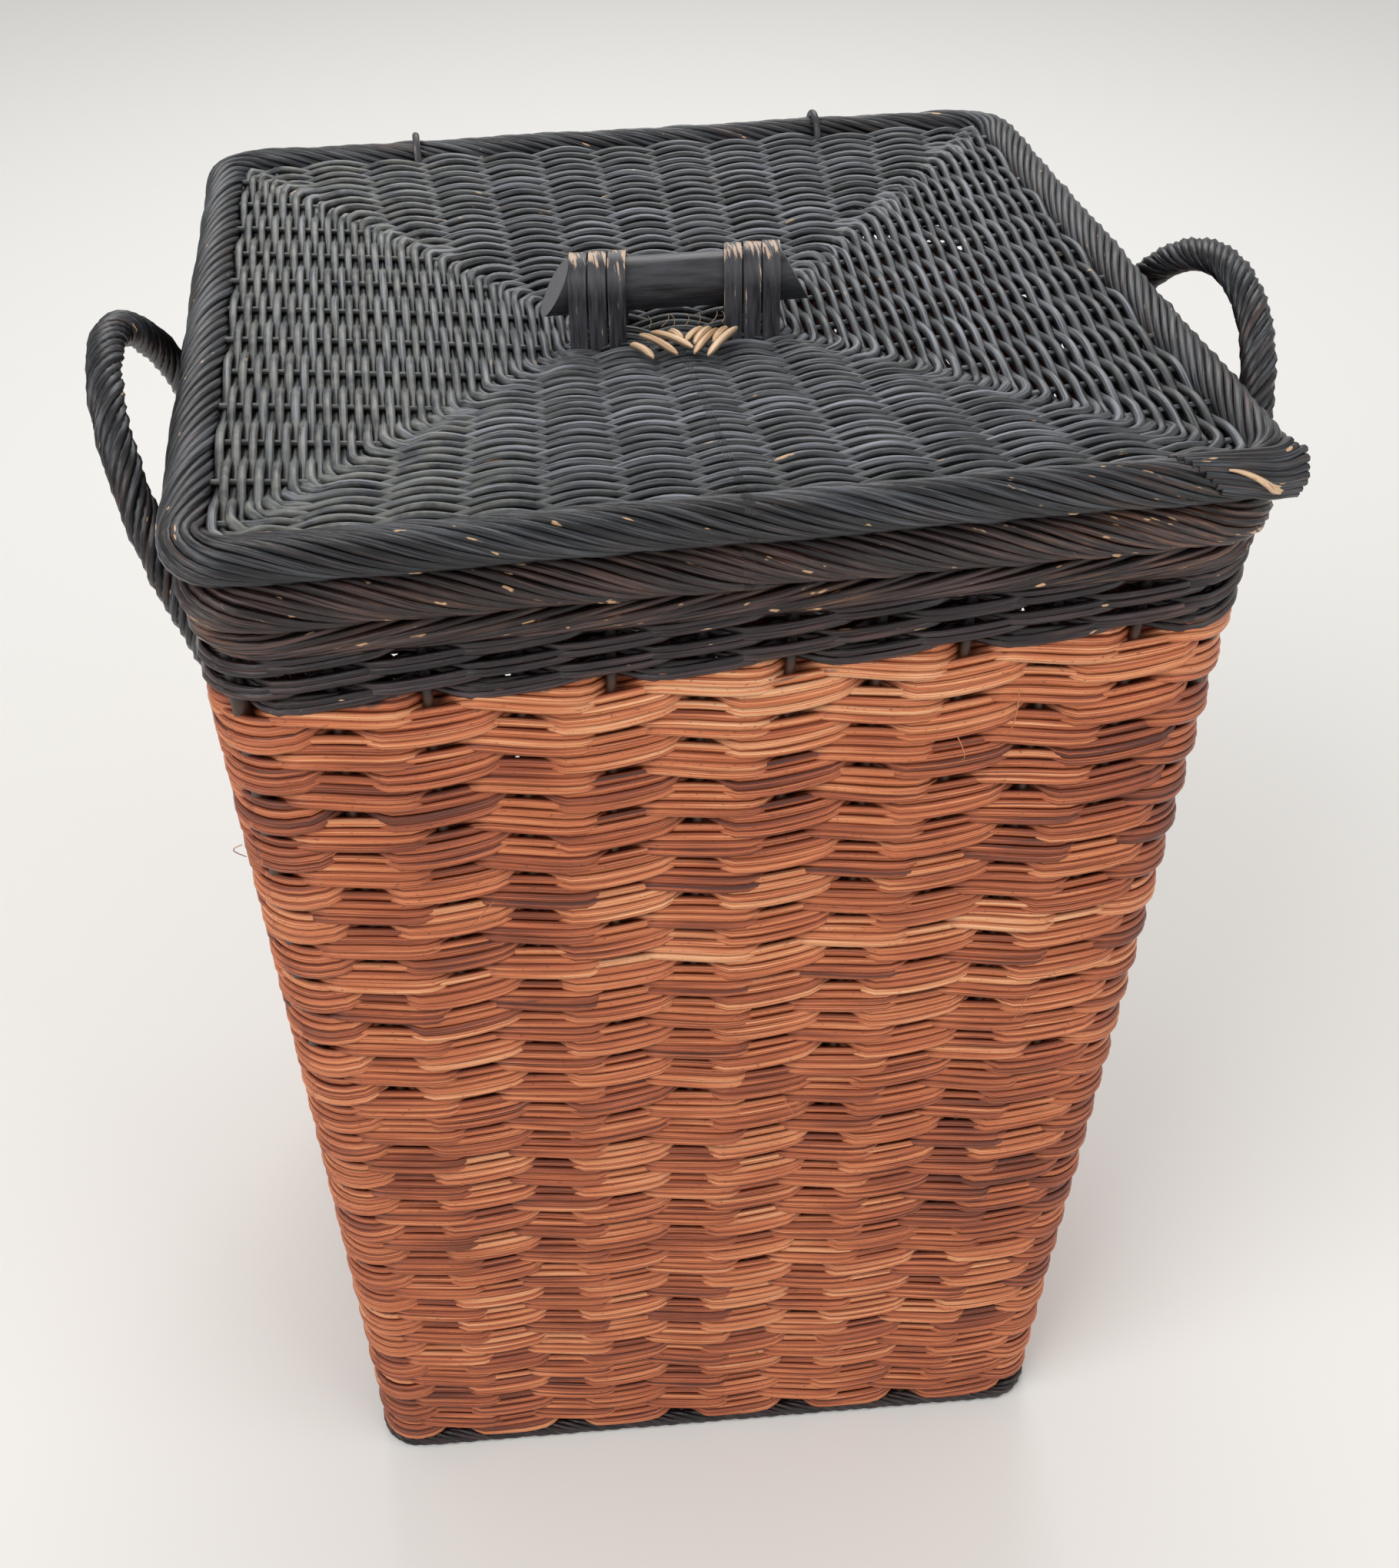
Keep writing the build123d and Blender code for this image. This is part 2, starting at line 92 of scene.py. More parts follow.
# Lid panel: half sizes of its middle field and of its rim
LID_SAG = 0.014
LID_LIFT = 0.0015
SAG_SHAPE = 0.9
LID_MIDDLE = np.array((0.056, 0.030))
RIM_CLEARANCE = 0.0012
LID_RIM = lid_border_high[:2] - 2 * LID_BORDER_RADIUS - RIM_CLEARANCE


# Canes: polylines that a node tree sweeps into round or flat canes

def cane_tree():
    """Geometry Nodes that sweep each polyline into a cane, turned to its own facing vector."""
    tree = bpy.data.node_groups.new("laid_canes", "GeometryNodeTree")
    face = tree.interface
    face.new_socket("Geometry", in_out="INPUT", socket_type="NodeSocketGeometry")
    face.new_socket("Sides", in_out="INPUT", socket_type="NodeSocketInt")
    face.new_socket("Flatness", in_out="INPUT", socket_type="NodeSocketFloat")
    face.new_socket("Finish", in_out="INPUT", socket_type="NodeSocketMaterial")
    face.new_socket("Geometry", in_out="OUTPUT", socket_type="NodeSocketGeometry")
    nodes, links = tree.nodes, tree.links
    given = nodes.new("NodeGroupInput")
    result = nodes.new("NodeGroupOutput")

    curve = nodes.new("GeometryNodeMeshToCurve")
    links.new(given.outputs["Geometry"], curve.inputs["Mesh"])
    facing = nodes.new("GeometryNodeInputNamedAttribute")
    facing.data_type = "FLOAT_VECTOR"
    facing.inputs["Name"].default_value = "facing"
    turned = nodes.new("GeometryNodeSetCurveNormal")
    turned.mode = "FREE"
    links.new(curve.outputs["Curve"], turned.inputs["Curve"])
    links.new(facing.outputs["Attribute"], turned.inputs["Normal"])

    section = nodes.new("GeometryNodeCurvePrimitiveCircle")
    section.mode = "RADIUS"
    section.inputs["Radius"].default_value = 1.0
    links.new(given.outputs["Sides"], section.inputs["Resolution"])
    place = nodes.new("GeometryNodeSplineParameter")
    marked = nodes.new("GeometryNodeStoreNamedAttribute")
    marked.data_type = "FLOAT"
    marked.domain = "POINT"
    marked.inputs["Name"].default_value = "around"
    links.new(section.outputs["Curve"], marked.inputs["Geometry"])
    links.new(place.outputs["Factor"], marked.inputs["Value"])
    squeeze = nodes.new("ShaderNodeCombineXYZ")
    squeeze.inputs["Y"].default_value = 1.0
    squeeze.inputs["Z"].default_value = 1.0
    links.new(given.outputs["Flatness"], squeeze.inputs["X"])
    flattened = nodes.new("GeometryNodeTransform")
    flattened.inputs["Rotation"].default_value = (0.0, 0.0, math.pi)
    links.new(marked.outputs["Geometry"], flattened.inputs["Geometry"])
    links.new(squeeze.outputs["Vector"], flattened.inputs["Scale"])

    thickness = nodes.new("GeometryNodeInputNamedAttribute")
    thickness.data_type = "FLOAT"
    thickness.inputs["Name"].default_value = "thickness"
    swept = nodes.new("GeometryNodeCurveToMesh")
    swept.inputs["Fill Caps"].default_value = True
    links.new(turned.outputs["Curve"], swept.inputs["Curve"])
    links.new(flattened.outputs["Geometry"], swept.inputs["Profile Curve"])
    links.new(thickness.outputs["Attribute"], swept.inputs["Scale"])

    smooth = nodes.new("GeometryNodeSetShadeSmooth")
    links.new(swept.outputs["Mesh"], smooth.inputs["Geometry"])
    real = nodes.new("GeometryNodeRealizeInstances")
    links.new(smooth.outputs["Geometry"], real.inputs["Geometry"])
    finish = nodes.new("GeometryNodeSetMaterial")
    links.new(real.outputs["Geometry"], finish.inputs["Geometry"])
    links.new(given.outputs["Finish"], finish.inputs["Material"])
    links.new(finish.outputs["Geometry"], result.inputs["Geometry"])
    return tree


CANE_TREE = cane_tree()


class Canes:
    """Polylines with a thickness, a facing vector, a tone and a depth at every point; the depth darkens the
    cane as painted shade.
    """

    def __init__(self):
        self.points, self.facing, self.edges = [], [], []
        self.thickness, self.tone, self.depth, self.along = [], [], [], []
        self.count = 0

    def add(self, points, facing, thickness, tone, depth=0.0, closed=False):
        """One more cane; each value is one for the whole cane, or one for every point."""
        total = len(points)
        steps = np.linalg.norm(np.diff(points, axis=0), axis=1)
        first = np.arange(self.count, self.count + total - 1)
        pairs = np.stack((first, first + 1), axis=1)
        if closed:
            pairs = np.vstack((pairs, [[self.count + total - 1, self.count]]))
        self.points.append(points)
        self.facing.append(np.broadcast_to(facing, points.shape))
        self.edges.append(pairs)
        self.thickness.append(np.broadcast_to(thickness, total))
        self.tone.append(np.broadcast_to(tone, total))
        self.depth.append(np.broadcast_to(depth, total))
        self.along.append(np.concatenate(([0.0], np.cumsum(steps))))
        self.count += total


def polylines(name, canes):
    """The canes' centre lines as one object of plain edges, with their values at every point."""
    points = np.vstack(canes.points)
    edges = np.vstack(canes.edges)
    mesh = bpy.data.meshes.new(name + "_lines")
    mesh.vertices.add(len(points))
    mesh.vertices.foreach_set("co", points.astype(np.float32).ravel())
    mesh.edges.add(len(edges))
    mesh.edges.foreach_set("vertices", edges.astype(np.int32).ravel())
    values = {"thickness": canes.thickness, "tone": canes.tone, "depth": canes.depth, "along": canes.along}
    for word, runs in values.items():
        layer = mesh.attributes.new(word, "FLOAT", "POINT")
        layer.data.foreach_set("value", np.concatenate(runs).astype(np.float32))
    layer = mesh.attributes.new("facing", "FLOAT_VECTOR", "POINT")
    layer.data.foreach_set("vector", np.vstack(canes.facing).astype(np.float32).ravel())
    lines = bpy.data.objects.new(name + "_lines", mesh)
    bpy.context.scene.collection.objects.link(lines)
    return lines


def lay(name, canes, body, finish, sides=6, flatness=1.0, replaces=()):
    """Sweeps the canes into one mesh, and hangs it on its body."""
    lines = polylines(name, canes)
    sweep = lines.modifiers.new("canes", "NODES")
    sweep.node_group = CANE_TREE
    given = {"Sides": sides, "Flatness": flatness, "Finish": finish}
    for item in CANE_TREE.interface.items_tree:
        if item.in_out == "INPUT" and item.name in given:
            sweep[item.identifier] = given[item.name]
    seen = lines.evaluated_get(bpy.context.evaluated_depsgraph_get())
    swept = bpy.data.meshes.new_from_object(seen)
    swept.name = name
    for word in ("facing", "thickness"):
        swept.attributes.remove(swept.attributes[word])
    bpy.data.objects.remove(lines)
    piece = bpy.data.objects.new(name, swept)
    bpy.context.scene.collection.objects.link(piece)
    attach(piece, body)
    if replaces:
        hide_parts(*replaces)
    return piece


# Materials

def srgb(red, green, blue):
    """A colour given in screen values from 0 to 255, as linear light."""
    def linear(value):
        value /= 255
        return value / 12.92 if value <= 0.04045 else ((value + 0.055) / 1.055) ** 2.4
    return (linear(red), linear(green), linear(blue), 1.0)


TONE_SCALE = 37.0


class Finish:
    """A material under construction, with short words for the nodes it uses."""

    def __init__(self, name):
        self.material = bpy.data.materials.new(name)
        self.material.use_nodes = True
        self.nodes = self.material.node_tree.nodes
        self.links = self.material.node_tree.links
        self.shader = self.nodes["Principled BSDF"]

    def value(self, word):
        """A value stored at the mesh's points."""
        node = self.nodes.new("ShaderNodeAttribute")
        node.attribute_name = word
        return node.outputs["Fac"]

    def place(self):
        """The position in the piece's own frame."""
        return self.nodes.new("ShaderNodeTexCoord").outputs["Object"]

    def along_cane(self, along_scale, around_scale):
        """A position that runs with each cane, and differs from cane to cane."""
        joined = self.nodes.new("ShaderNodeCombineXYZ")
        words = (("along", along_scale, "X"), ("around", around_scale, "Y"), ("tone", TONE_SCALE, "Z"))
        for word, scale, axis in words:
            self.links.new(self.math("MULTIPLY", self.value(word), scale), joined.inputs[axis])
        return joined.outputs["Vector"]

    def add(self, *terms):
        """The sum of (value, share) pairs."""
        total = self.math("MULTIPLY", *terms[0])
        for value, share in terms[1:]:
            total = self.math("ADD", total, self.math("MULTIPLY", value, share))
        return total

    def painted_crevice_shade(self, darkest):
        """Painted shade: 1 on the side of a cane that faces out, down to the darkest on the sides where it
        meets its neighbours.
        """
        off = self.math("ABSOLUTE", self.math("SUBTRACT", self.value("around"), 0.5))
        return self.ramp(off, 0.07, 0.27, 1.0, darkest)

    def math(self, operation, first, second=0.0):
        """One sum on two numbers or sockets."""
        node = self.nodes.new("ShaderNodeMath")
        node.operation = operation
        for socket, given in zip(node.inputs, (first, second)):
            if isinstance(given, (int, float)):
                socket.default_value = given
            else:
                self.links.new(given, socket)
        return node.outputs["Value"]

    def noise(self, vector, scale, detail=3.0, roughness=0.55):
        """Smooth noise from 0 to 1."""
        node = self.nodes.new("ShaderNodeTexNoise")
        node.inputs["Scale"].default_value = scale
        node.inputs["Detail"].default_value = detail
        node.inputs["Roughness"].default_value = roughness
        self.links.new(vector, node.inputs["Vector"])
        return node.outputs["Fac"]

    def ramp(self, value, low, high, first=0.0, last=1.0):
        """A straight ramp from first at low to last at high, level beyond them."""
        node = self.nodes.new("ShaderNodeMapRange")
        node.inputs["From Min"].default_value = low
        node.inputs["From Max"].default_value = high
        node.inputs["To Min"].default_value = first
        node.inputs["To Max"].default_value = last
        self.links.new(value, node.inputs["Value"])
        return node.outputs["Result"]

    def colours(self, value, *stops):
        """A colour band given by (position, colour) stops."""
        node = self.nodes.new("ShaderNodeValToRGB")
        band = node.color_ramp
        band.elements[0].position, band.elements[0].color = stops[0]
        band.elements[1].position, band.elements[1].color = stops[-1]
        for position, colour in stops[1:-1]:
            band.elements.new(position).color = colour
        self.links.new(value, node.inputs["Fac"])
        return node.outputs["Color"]

    def mix(self, amount, first, second, blend="MIX"):
        """Two colours mixed; the node's colour sockets are its inputs 6 and 7 and its output 2."""
        node = self.nodes.new("ShaderNodeMix")
        node.data_type = "RGBA"
        node.blend_type = blend
        for index, given in ((0, amount), (6, first), (7, second)):
            if isinstance(given, (int, float, tuple)):
                node.inputs[index].default_value = given
            else:
                self.links.new(given, node.inputs[index])
        return node.outputs[2]

    def bump(self, height, strength, distance):
        """Fine relief that only the light sees."""
        node = self.nodes.new("ShaderNodeBump")
        node.inputs["Strength"].default_value = strength
        node.inputs["Distance"].default_value = distance
        self.links.new(height, node.inputs["Height"])
        self.links.new(node.outputs["Normal"], self.shader.inputs["Normal"])

    def colour(self, source):
        """The surface's colour."""
        self.links.new(source, self.shader.inputs["Base Color"])

    def roughness(self, source):
        """The surface's dullness, as one number or a socket."""
        if isinstance(source, float):
            self.shader.inputs["Roughness"].default_value = source
        else:
            self.links.new(source, self.shader.inputs["Roughness"])


def axis_of(finish, vector, axis):
    """One coordinate of a vector."""
    node = finish.nodes.new("ShaderNodeSeparateXYZ")
    finish.links.new(vector, node.inputs["Vector"])
    return node.outputs[axis]


BARE_CANE = srgb(212, 170, 128)
RUBBED_BROWN = srgb(128, 90, 70)
DUST = srgb(128, 130, 120)
LIT = (1.0, 1.0, 1.0, 1.0)


def brown_cane():
    """Lacquered cane: orange brown, streaked along its length, redder and darker low down."""
    finish = Finish("lacquered_brown_cane")
    place = finish.place()
    grain = finish.noise(finish.along_cane(26.0, 9.0), 1.0, 4.0, 0.65)
    streak = finish.noise(finish.along_cane(8.0, 30.0), 1.0, 3.0, 0.7)
    blotch = finish.noise(finish.along_cane(9.0, 0.6), 1.0, 3.0)
    patch = finish.noise(place, 9.0, 2.0)
    tone = finish.value("tone")
    fine = finish.ramp(streak, 0.3, 0.7)
    mixed = finish.add((tone, 0.34), (grain, 0.40), (fine, 0.40), (blotch, 0.34), (patch, 0.30))
    height = finish.ramp(axis_of(finish, place, "Z"), 0.0, 0.5, -0.20, -0.13)
    aside = finish.ramp(finish.math("ABSOLUTE", axis_of(finish, place, "X")), 0.06, 0.19, 0.0, -0.06)
    mixed = finish.math("ADD", mixed, finish.math("ADD", height, aside))
    lacquer = finish.colours(
        mixed,
        (0.50, srgb(84, 38, 24)),
        (0.62, srgb(148, 72, 42)),
        (0.74, srgb(200, 108, 64)),
        (0.86, srgb(226, 146, 96)),
        (0.96, srgb(244, 192, 146)),
    )
    # Painted shade: darker where a cane dives behind a stake, and on its sides where it meets its neighbours.
    shade = finish.ramp(finish.value("depth"), 0.10, 0.9, 1.0, 0.25)
    shade = finish.math("MULTIPLY", shade, finish.painted_crevice_shade(0.10))
    lacquer = finish.mix(1.0, lacquer, finish.mix(shade, (0.26, 0.13, 0.09, 1.0), LIT), "MULTIPLY")
    fleck = finish.noise(finish.along_cane(420.0, 9.0), 1.0, 2.0)
    lacquer = finish.mix(finish.ramp(fleck, 0.64, 0.72, 0.0, 0.55), lacquer, srgb(86, 42, 28))
    ragged = finish.ramp(finish.noise(place, 55.0, 3.0), 0, 1, -0.006, 0.006)
    edge = finish.math("ADD", axis_of(finish, place, "Z"), ragged)
    painted = finish.ramp(edge, BROWN_TOP - 0.0030, BROWN_TOP - 0.0008)
    near_paint = finish.ramp(edge, BROWN_TOP - 0.03, BROWN_TOP, 0.0, 0.16)
    smear = finish.math("ADD", finish.noise(finish.along_cane(24.0, 2.0), 1.0, 3.0), near_paint)
    smeared = finish.math("MAXIMUM", painted, finish.ramp(smear, 0.76, 0.82, 0.0, 0.8))
    finish.colour(finish.mix(smeared, lacquer, srgb(34, 27, 27)))
    finish.roughness(finish.ramp(grain, 0.3, 0.7, 0.30, 0.52))
    finish.bump(streak, 0.6, 0.0006)
    return finish.material


def black_cane(name, paint_and_sheen_stops, wear=0.72, dust=0.0, brown=0.25):
    """Painted cane: fine streaks, rubbed to brown and to bare cane in flecks, dusty where asked; the lightest
    paint stops are a painted sheen, and it is darkened as painted shade where it dives and between
    neighbours.
    """
    finish = Finish(name)
    place = finish.place()
    grain = finish.noise(finish.along_cane(30.0, 13.0), 1.0, 4.0, 0.6)
    rub = finish.noise(finish.along_cane(38.0, 5.0), 1.0, 3.0)
    nick = finish.noise(finish.along_cane(90.0, 3.2), 1.0, 2.0)
    broad = finish.noise(place, 14.0, 2.0)
    toned = finish.math("ADD", grain, finish.ramp(finish.value("tone"), 0.0, 1.0, -0.06, 0.06))
    # The lightest of these stops stand for a painted sheen of the room's light on the paint.
    paint = finish.colours(toned, *zip((0.32, 0.50, 0.72), paint_and_sheen_stops))
    stain = finish.math("MULTIPLY", finish.ramp(rub, 0.50, 0.70), finish.ramp(broad, 0.42, 0.62, 0.0, brown))
    paint = finish.mix(stain, paint, RUBBED_BROWN)
    chip = finish.math("ADD", nick, finish.math("MULTIPLY", broad, 0.14))
    paint = finish.mix(finish.ramp(chip, wear + 0.08, wear + 0.11, 0.0, 0.9), paint, BARE_CANE)
    if dust:
        settled = finish.math("MULTIPLY", finish.ramp(finish.noise(place, 120.0, 4.0), 0.35, 0.65), dust)
        on_left = finish.ramp(axis_of(finish, place, "X"), -0.12, -0.06, 1.0, 0.25)
        paint = finish.mix(finish.math("MULTIPLY", settled, on_left), paint, DUST)
    # Painted shade: darker where a cane dives behind a stake, and on its sides where it meets its neighbours.
    shade = finish.ramp(finish.value("depth"), 0.2, 1.0, 1.0, 0.30)
    shade = finish.math("MULTIPLY", shade, finish.painted_crevice_shade(0.12))
    finish.colour(finish.mix(1.0, paint, finish.mix(shade, (0.16, 0.15, 0.15, 1.0), LIT), "MULTIPLY"))
    finish.roughness(finish.ramp(grain, 0.3, 0.7, 0.22, 0.48))
    finish.bump(grain, 0.6, 0.0006)
    return finish.material


def solid_cane(name, low, high, bare, wear, streaks=(1.0, 1.0, 0.25)):
    """A finish for the frame's own pieces: streaks that run along the piece, with rubbed places."""
    finish = Finish(name)
    stretch = finish.nodes.new("ShaderNodeMapping")
    stretch.inputs["Scale"].default_value = streaks
    finish.links.new(finish.place(), stretch.inputs["Vector"])
    grain = finish.noise(stretch.outputs["Vector"], 420.0, 4.0, 0.6)
    broad = finish.noise(stretch.outputs["Vector"], 150.0, 3.0)
    paint = finish.colours(grain, (0.30, low), (0.75, high))
    worn = finish.ramp(finish.math("ADD", broad, finish.math("MULTIPLY", grain, 0.25)), wear, wear + 0.05)
    return finish, grain, finish.mix(worn, paint, bare)


def finished(finish, grain, colour, smooth=0.36):
    """Closes a solid finish with its colour, its gloss and its fine relief."""
    finish.colour(colour)
    finish.roughness(finish.ramp(grain, 0.3, 0.7, smooth, smooth + 0.22))
    finish.bump(grain, 0.4, 0.0005)
    return finish.material


def dowel_paint():
    """Black paint on the dowel, with a dull grey on its two slanted cuts."""
    finish, grain, colour = solid_cane(
        "worn_black_dowel", srgb(28, 28, 31), srgb(62, 63, 68), srgb(150, 130, 110), 0.98, (0.12, 1.0, 1.0))
    faces = finish.nodes.new("ShaderNodeTexCoord").outputs["Normal"]
    cut = finish.ramp(finish.math("ABSOLUTE", axis_of(finish, faces, "X")), 0.30, 0.45)
    return finished(finish, grain, finish.mix(cut, colour, srgb(104, 102, 106)), 0.30)


def binding_paint():
    """Black paint on the flat canes, worn to bare cane on their top bends and along their edges."""
    finish, grain, colour = solid_cane(
        "black_binding_cane", srgb(26, 26, 30), srgb(78, 78, 84), srgb(206, 172, 140),
        0.80, (1.6, 0.14, 0.14))
    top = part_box("handle_binding_left")[1][2]
    high = finish.ramp(axis_of(finish, finish.place(), "Z"), top - 0.006, top, 0.0, 0.17)
    rubbed = finish.ramp(finish.math("ADD", grain, high), 0.66, 0.70, 0.0, 0.9)
    return finished(finish, grain, finish.mix(rubbed, colour, srgb(196, 166, 140)))


def stick_wood_with_painted_shade():
    """Bare sticks, darkened as painted shade where they show between the woven rows, and painted black above
    the brown wall.
    """
    finish, grain, colour = solid_cane(
        "bare_stick_painted_shade", srgb(40, 24, 17), srgb(80, 48, 32), srgb(120, 80, 52), 0.9)
    painted = finish.ramp(axis_of(finish, finish.place(), "Z"), BROWN_TOP - 0.004, BROWN_TOP - 0.001)
    return finished(finish, grain, finish.mix(painted, colour, srgb(30, 26, 27)))


BROWN = brown_cane()
# The lightest stop of each black paint is a painted sheen, bluish on the lid.
BLACK = black_cane("black_painted_cane", (srgb(16, 11, 13), srgb(34, 25, 28), srgb(80, 62, 66)), brown=0.35)
ROPE_BLACK = black_cane("black_rope_cane", (srgb(9, 10, 12), srgb(26, 27, 31), srgb(84, 88, 95)), wear=0.70)
BODY_ROPE = black_cane(
    "rubbed_rope_cane", (srgb(16, 10, 11), srgb(40, 28, 28), srgb(96, 74, 70)), wear=0.67, brown=0.9)
LID_BLACK = black_cane(
    "dusty_lid_cane_painted_sheen", (srgb(16, 18, 22), srgb(58, 61, 67), srgb(140, 144, 154)), dust=0.7, brown=0.05)
BARE = black_cane(
    "bare_cane_ends", (srgb(178, 138, 100), srgb(224, 188, 150), srgb(244, 222, 194)), wear=0.9, brown=0.0)
DOWEL_PAINT = dowel_paint()
BINDING_PAINT = binding_paint()
STICK = stick_wood_with_painted_shade()


# Body wall

def outline(s, width, depth, corner):
    """A point of the rounded outline, and the way it faces, at a number of stake spaces round."""
    side = np.floor(s / SPACES).astype(int) % 4
    step = s - np.floor(s / SPACES) * SPACES - SPACES / 2
    half = np.where(side % 2 == 0, width, depth) / 2
    out = np.where(side % 2 == 0, depth, width) / 2
    reach = (corner - WALL / 2) / math.sqrt(2)
    straight = half - corner
    run = step * 2 * (straight + reach) / SPACES
    turn = np.clip((np.abs(run) - straight) / reach, 0, 1) * math.pi / 4
    sign = np.sign(run)
    a = np.where(turn > 0, sign * (straight + corner * np.sin(turn)), run)
    b = out - corner + corner * np.cos(turn)
    face_a, face_b = sign * np.sin(turn), np.cos(turn)
    x = np.choose(side, (a, b, -a, -b))
    y = np.choose(side, (-b, a, b, -a))
    face_x = np.choose(side, (face_a, face_b, -face_a, -face_b))
    face_y = np.choose(side, (-face_b, face_a, face_b, -face_a))
    return np.stack((x, y), axis=-1), np.stack((face_x, face_y), axis=-1)


def turned(xy, angle):
    """Places turned about the origin."""
    c, s = math.cos(angle), math.sin(angle)
    return np.stack((xy[..., 0] * c - xy[..., 1] * s, xy[..., 0] * s + xy[..., 1] * c), axis=-1)


def wall_point(s, z, out):
    """A point of the body's wall, moved out from its surface, and the way the wall faces there."""
    t = ((z - FOOT_TOP) / (SHOULDER_Z - FOOT_TOP))[:, None]
    low, low_face = outline(s, BASE_WIDTH, BASE_DEPTH, BASE_CORNER)
    high, high_face = outline(s, SHOULDER_WIDTH, SHOULDER_DEPTH, SHOULDER_CORNER)
    xy = (1 - t) * turned(low, BASE_TURN) + t * high
    face = (1 - t) * turned(low_face, BASE_TURN) + t * high_face
    face /= np.linalg.norm(face, axis=1, keepdims=True)
    points = np.column_stack((xy + face * np.reshape(out, (-1, 1)), z))
    return points, np.column_stack((face, np.zeros(len(z))))


WAVE_PERIOD = 2.0
WAVE_BLUR = 0.10
WANDER_WAVES = 5


def smooth_wave(s, knots):
    """A curve through a few given knots, smoothed, that repeats after two stake spaces."""
    places, heights = np.array(knots).T
    fine = np.linspace(0, WAVE_PERIOD, 128, endpoint=False)
    wave = np.interp(fine, places, heights, period=WAVE_PERIOD)
    kernel = np.exp(-((fine - WAVE_PERIOD / 2) / WAVE_BLUR) ** 2)
    spectrum = np.fft.fft(np.fft.ifftshift(kernel / kernel.sum()))
    wave = np.real(np.fft.ifft(np.fft.fft(wave) * spectrum))
    return np.interp(s, fine, wave, period=WAVE_PERIOD)


def dive(s, place, sharpness):
    """From 0 in front of a stake to 1 where the cane is behind one, every second stake."""
    return ((1 + np.cos(math.pi * (s - place))) / 2) ** sharpness


def wander(s, size):
    """A smooth irregularity round the body."""
    total = np.zeros_like(s)
    for _ in range(WANDER_WAVES):
        total += np.sin(2 * math.pi * s * chance.integers(1, 14) / ROUND + chance.uniform(0, 2 * math.pi))
    return total * size / math.sqrt(WANDER_WAVES)


# Heights in a pair of rows, in metres, from one stake to the next but one
DROOPING_ROW = ((0.40, 0.0085), (0.72, 0.0072), (1.41, 0.0030), (2.00, 0.0014), (2.15, 0.0010))
RISING_ROW = (
    (1.08, -0.0047), (1.41, -0.0070), (1.80, -0.0068), (2.22, -0.0051), (2.68, -0.0022), (2.93, 0.0004))
PAIRS = 25
PAIR_PITCH = (BROWN_TOP - FOOT_TOP) / PAIRS
CANES_IN_ROW = 4
CANE_PITCH = 0.0035
CANE_RADIUS = 0.0021
CANE_FLATNESS = 0.72
CANE_SIZES = (0.92, 1.08)
PAIRS_IN_PIECE = 5
DROOPING_DIVE = 2.08
RISING_DIVE = 1.0
DIVE_DEPTH = 0.0084
SUNK_SHARPNESS = 6.0
PROUD_SHARPNESS = 1.5
PROUD_SPREAD = 0.12
SUNK_SPREAD = 0.15
WEAVE_INSET = 0.0008
SHINGLE_SLOPE = 0.0007
SHINGLE_CURVE = 0.0002
DIVE_STEPS = np.array((0.0, 0.06, 0.12, 0.20, 0.30, 0.45, 0.65, 0.85))
CORNER_STEPS = np.array((-0.3, -0.2, -0.1, 0.0, 0.1, 0.2, 0.3))


def stops_round(dive_place):
    """Where a cane is sampled: close together at its dives and round the corners."""
    near_dive = np.concatenate((DIVE_STEPS, -DIVE_STEPS[1:], [1.0]))
    at_dives = (np.arange(0, ROUND, 2)[:, None] + dive_place + near_dive).ravel()
    at_corners = (np.arange(0, ROUND, SPACES)[:, None] + CORNER_STEPS).ravel()
    return np.unique(np.round(np.concatenate((at_dives, at_corners)) % ROUND, 3))


def slewed_row(canes, pair, knots, dive_place):
    """Four canes side by side that pass in front of one stake and behind the next."""
    s = stops_round(dive_place)
    sunk = dive(s, dive_place, SUNK_SHARPNESS)
    proud = dive(s, dive_place + 1, PROUD_SHARPNESS)
    row_z = FOOT_TOP + (pair + 0.5) * PAIR_PITCH + wander(s, 0.0004)
    swing = smooth_wave(s, knots) * (1 + wander(s, 0.10))
    fan = 1 + PROUD_SPREAD * proud + SUNK_SPREAD * sunk
    row_tone = chance.uniform(0.25, 0.75)
    for number in range(CANES_IN_ROW):
        from_middle = number - (CANES_IN_ROW - 1) / 2
        z = row_z + swing - from_middle * CANE_PITCH * fan + wander(s, 0.00018)
        z = np.clip(z, FOOT_TOP - 0.001, BROWN_TOP + 0.001)
        shingle = SHINGLE_SLOPE * from_middle - SHINGLE_CURVE * from_middle ** 2
        out = -WEAVE_INSET + shingle - DIVE_DEPTH * sunk + wander(s, 0.00015)
        points, facing = wall_point(s, z, out)
        radius = CANE_RADIUS * chance.uniform(*CANE_SIZES)
        tone = np.clip(row_tone + chance.uniform(-0.18, 0.18), 0, 1)
        canes.add(points, facing, radius, tone, sunk, closed=True)


def brown_weave():
    """The brown wall, in pieces of five pairs of rows."""
    for first in range(0, PAIRS, PAIRS_IN_PIECE):
        canes = Canes()
        for pair in range(first, first + PAIRS_IN_PIECE):
            slewed_row(canes, pair, DROOPING_ROW, DROOPING_DIVE)
            slewed_row(canes, pair, RISING_ROW, RISING_DIVE)
        name = f"brown_rows_{first // PAIRS_IN_PIECE}"
        lay(name, canes, "body", BROWN, flatness=CANE_FLATNESS)
    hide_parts("brown_weave")


BLACK_ROWS = 10
BLACK_ROW_RISE = ((0.0, -0.0016), (0.5, -0.0018), (1.0, -0.0006), (1.5, 0.0014), (1.9, 0.0022))
BLACK_LAP = 0.0022
BLACK_ROW_INSET = 0.0010
BLACK_ROW_DEPTH = 0.0078
BLACK_SHARPNESS = 4.0
BLACK_PAIR_STEP = 0.0008
BLACK_ROW_SHARE = 0.66
LEAST_BLACK_RADIUS = 0.0017
INNER_STRANDS = 5
INNER_DROP = 0.006
INNER_PITCH = 0.0042
INNER_RADIUS = 0.0021
INNER_DEPTH = 0.0088


